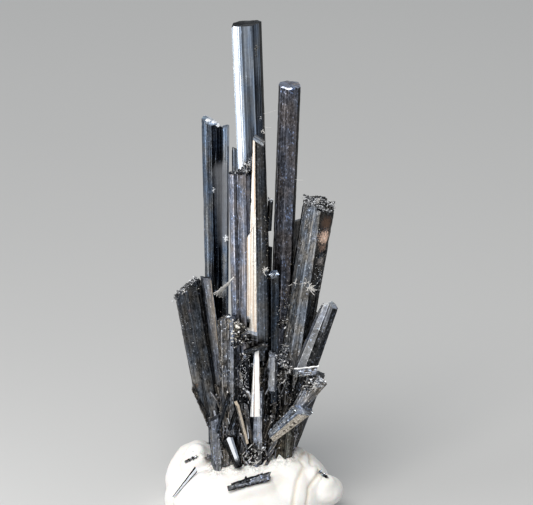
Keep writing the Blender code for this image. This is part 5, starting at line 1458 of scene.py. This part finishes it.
putty = {
    "lumps": (
        ((-0.35, 0.2, 0.4), (7.9, 6.9, 4.9)),
        ((3.3, -0.6, 1.8), (4.0, 4.6, 4.05)),
        ((6.45, -1.9, 2.5), (1.85, 2.2, 1.5)),
        ((-4.9, 1.4, 1.7), (3.15, 3.6, 4.2)),
    ),
    "voxel": 0.10,
    "creases": (
        # points, width, depth
        (((4.6, 0.2, 5.6), (4.26, -1.83, 5.48), (4.62, -2.47, 5.05), (3.98, -4.10, 4.23), (3.66, -5.12, 2.78),
          (3.7, -5.7, 1.2)), 0.20, 0.15),
        (((5.0, 0.8, 5.3), (5.35, -1.73, 5.14), (5.80, -2.39, 4.43), (5.07, -4.09, 3.54), (4.88, -4.73, 2.24),
          (5.1, -5.0, 1.0)), 0.18, 0.20),
        (((-7.0, 2.6, 4.4), (-5.0, 4.4, 4.2), (-2.6, 5.6, 3.4), (-0.4, 6.6, 2.0)), 0.45, 0.14),
        (((1.0, 5.6, 3.8), (3.4, 4.6, 4.0), (5.4, 3.2, 3.6), (6.8, 1.4, 2.2)), 0.45, 0.16),
    ),
    "laps": (
        # x, y where the putty was pressed up against the crystals, extra height, reach
        (1.5, -2.9, 0.80, 1.0), (2.6, -2.6, 0.35, 0.8), (-1.9, -2.9, 0.40, 0.8), (-3.7, -2.0, 0.15, 0.8),
    ),
    "waves": ((0.33, 0.16, 0.0), (0.9, 0.07, 7.0), (2.3, 0.03, 0.0)),  # how fine, how high, shift
    "pressedIn": 0.10,
    "climb": {"height": 0.14, "reach": 0.42, "search": 1.6, "ragged": 0.9, "raggedFine": 1.7},
    "sootReach": 0.5,
    "mound": {"height": 0.37, "flat": 0.42, "reach": 0.45, "search": 1.5},  # where a loose piece is bedded
    "swell": {"height": 0.05, "away": 3.0, "width": 2.2},  # beside a crease, in its widths
    "smoothPasses": 4,
}


def awayFromLine(points, lineStart, lineEnd):
    lineStart, lineEnd = np.array(lineStart), np.array(lineEnd)
    run = lineEnd - lineStart
    share = np.clip(((points - lineStart) @ run) / (run @ run), 0.0, 1.0)
    return np.linalg.norm(points - lineStart - share[:, None] * run, axis=1)


def makePutty():
    shape = bmesh.new()
    for centre, radii in putty["lumps"]:
        place = Matrix.Translation(Vector(centre) * mm) @ Matrix.Diagonal((*[radius * mm for radius in radii], 1.0))
        bmesh.ops.create_icosphere(shape, subdivisions=5, radius=1.0, matrix=place)
    thing = addObject("putty", meshOf(shape, "putty"))
    remesh = thing.modifiers.new("oneLump", "REMESH")
    remesh.mode, remesh.voxel_size = "VOXEL", putty["voxel"] * mm
    soften = thing.modifiers.new("soften", "SMOOTH")
    soften.factor, soften.iterations = 0.5, putty["smoothPasses"]
    keepResult(thing, remesh, soften)
    mesh = thing.data
    points, normals = arraysOf(mesh)
    skin = BVHTree.FromPolygons(points.tolist(), [tuple(face.vertices) for face in mesh.polygons])
    bedded = [item.name for item in bpy.data.objects if item.name.startswith("loose_")]
    loose = BVHTree.FromBMesh(joinedMesh(bedded))
    push, lift, soot = (np.zeros(len(points)) for _ in range(3))
    climb, mound, swell = putty["climb"], putty["mound"], putty["swell"]
    for number, point in enumerate(points):
        spot = Vector(point)
        push[number] = sum(high * noise.noise(spot * fine + Vector((shift, 0.0, 0.0)))
                           for fine, high, shift in putty["waves"]) - putty["pressedIn"]
        near = surface.find_nearest(spot * mm, climb["search"] * mm)[3]
        if near is not None:
            ragged = 1.0 + climb["ragged"] * noise.noise(spot * climb["raggedFine"])
            lift[number] = math.exp(-((near / mm / climb["reach"]) ** 2)) * ragged * (climb["height"] + sum(
                high * math.exp(-((point[0] - x) ** 2 + (point[1] - y) ** 2) / reach ** 2)
                for x, y, high, reach in putty["laps"]))
            soot[number] = math.exp(-((near / mm / putty["sootReach"]) ** 2))
        below = loose.find_nearest(spot * mm, mound["search"] * mm)[3]
        if below is not None and normals[number][2] > -0.2:  # the underside stays as it is
            share = math.exp(-(max(below / mm - mound["flat"], 0.0) / mound["reach"]) ** 2)
            push[number] += share * (mound["height"] - push[number])
    crease = np.zeros(len(points))
    for line, width, depth in putty["creases"]:
        pressed = [skin.find_nearest(Vector(line[i]).lerp(Vector(line[i + 1]), step / 4))[0]
                   for i in range(len(line) - 1) for step in range(5)]
        away = np.min([awayFromLine(points, *pair) for pair in zip(pressed, pressed[1:]) if pair[0] != pair[1]],
                      axis=0)
        groove = np.exp(-((away / width) ** 2))
        beside = np.exp(-(((away - swell["away"] * width) / (swell["width"] * width)) ** 2))
        push += beside * depth * swell["height"] - groove * depth
        crease = np.maximum(crease, groove)
    points += normals * push[:, None]
    points[:, 2] += lift
    mesh.vertices.foreach_set("co", (points * mm).ravel())
    mesh.attributes.new("crease", "FLOAT", "POINT").data.foreach_set("value", crease)
    mesh.attributes.new("soot", "FLOAT", "POINT").data.foreach_set("value", soot)
    mesh.update()
    shape = joinedMesh(("putty",))
    everything = shape.verts[:] + shape.edges[:] + shape.faces[:]
    cut = bmesh.ops.bisect_plane(shape, geom=everything, dist=1e-7, plane_co=(0.0, 0.0, 0.0),
                                 plane_no=(0.0, 0.0, -1.0), clear_outer=True)
    bmesh.ops.contextual_create(shape, geom=cutEdges(cut))
    bmesh.ops.recalc_face_normals(shape, faces=shape.faces[:])
    for face in shape.faces:
        face.smooth = len(face.verts) < 9
    thing.data = meshOf(shape, "pressedPutty")
    thing.data.materials.append(puttyFinish())
    settle(thing, "mounting_putty")


def puttyFinish():
    r = FinishRecipe("whitePutty")
    place = r.place()
    crease, nearCrystal = r.attribute("crease"), r.attribute("soot")
    broad, grain = r.noise(place, 0.55, 3.0), r.noise(place, 5.5, 4.0, 0.7)
    # The creases turn beige: painted shade in the folds, over a faint random warm tint.
    warm = (broad.between(0.4, 0.65) * 0.3 + crease * 0.8).clamped()
    colour = r.mixed(warm, (0.90, 0.89, 0.865), (0.78, 0.72, 0.62))
    soot = nearCrystal * r.noise(place, 3.4, 4.0, 0.7).between(0.40, 0.62)
    soot = soot + r.noise(place, 6.0, 2.0, 0.6).between(0.745, 0.765) * 0.6
    colour = r.mixed(soot.clamped() * 0.75, colour, (0.16, 0.15, 0.14))
    bump = r.node("ShaderNodeBump", {}, {"Strength": 0.6, "Distance": 0.00008, "Height": grain * 0.6 + broad})
    return r.finish({"Base Color": colour, "Roughness": 0.62 + grain * 0.2, "Normal": bump},
                    {"Subsurface Weight": 0.12, "Subsurface Scale": 0.0004})


makePutty()
print("putty pressed")


def makeCamera():
    data = bpy.data.cameras.new("camera")
    data.sensor_width = view["sensor"]
    data.lens = view["sensor"] * view["distance"] / (view["pixelsWide"] * view["pixelSize"])
    data.clip_start, data.clip_end = view["clip"]
    camera = bpy.data.objects.new("camera", data)
    bpy.context.scene.collection.objects.link(camera)
    camera.location = viewEye * mm
    camera.rotation_euler = (math.radians(90.0) - view["elevation"], 0.0, 0.0)
    bpy.context.scene.camera = camera


def addPanel(name, place, aim, width, height, power, colour):
    data = bpy.data.lights.new(name, "AREA")
    data.shape, data.size, data.size_y = "RECTANGLE", width * mm, height * mm
    data.energy, data.color = power, colour
    panel = bpy.data.objects.new(name, data)
    panel.location = Vector(place) * mm
    panel.rotation_mode = "QUATERNION"
    panel.rotation_quaternion = (Vector(place) - Vector(aim)).to_track_quat("Z", "Y")
    panel.visible_camera = False
    bpy.context.scene.collection.objects.link(panel)


studio = {
    "floorHalf": 3.0, "floorColours": ((0.60, 0.60, 0.60), (0.64, 0.64, 0.63)), "floorRoughness": 0.9,
    "sky": (0.92, 0.96, 1.0), "skyStrength": 0.38,
    "panels": (
        # name, place, aim, width, height, power, colour
        ("keyPanel", (-90.0, -320.0, 420.0), (0.0, 0.0, 20.0), 340.0, 300.0, 2.25, (1.0, 0.98, 0.95)),
        ("leftStrip", (-62.0, -26.0, 30.0), (0.0, 0.0, 24.0), 40.0, 60.0, 0.02, (1.0, 1.0, 1.0)),
    ),
}


def makeStudio():
    floorMesh = bpy.data.meshes.new("floor")
    half = studio["floorHalf"]
    floorMesh.from_pydata([(-half, -half, 0.0), (half, -half, 0.0), (half, half, 0.0), (-half, half, 0.0)], [],
                          [(0, 1, 2, 3)])
    floor = addObject("floor", floorMesh)
    r = FinishRecipe("paleFloor")
    mottled = r.noise(r.place(), 0.01, 2.0)
    floorMesh.materials.append(r.finish({"Base Color": r.mixed(mottled, *studio["floorColours"]),
                                         "Roughness": studio["floorRoughness"]}))
    world = bpy.data.worlds.new("studio")
    bpy.context.scene.world = world
    world.use_nodes = True
    backdrop = world.node_tree.nodes["Background"]
    backdrop.inputs["Color"].default_value = (*studio["sky"], 1.0)
    backdrop.inputs["Strength"].default_value = studio["skyStrength"]
    for panel in studio["panels"]:
        addPanel(*panel)
    bpy.context.scene.view_settings.view_transform = "Standard"


makeCamera()
makeStudio()
print("studio set")
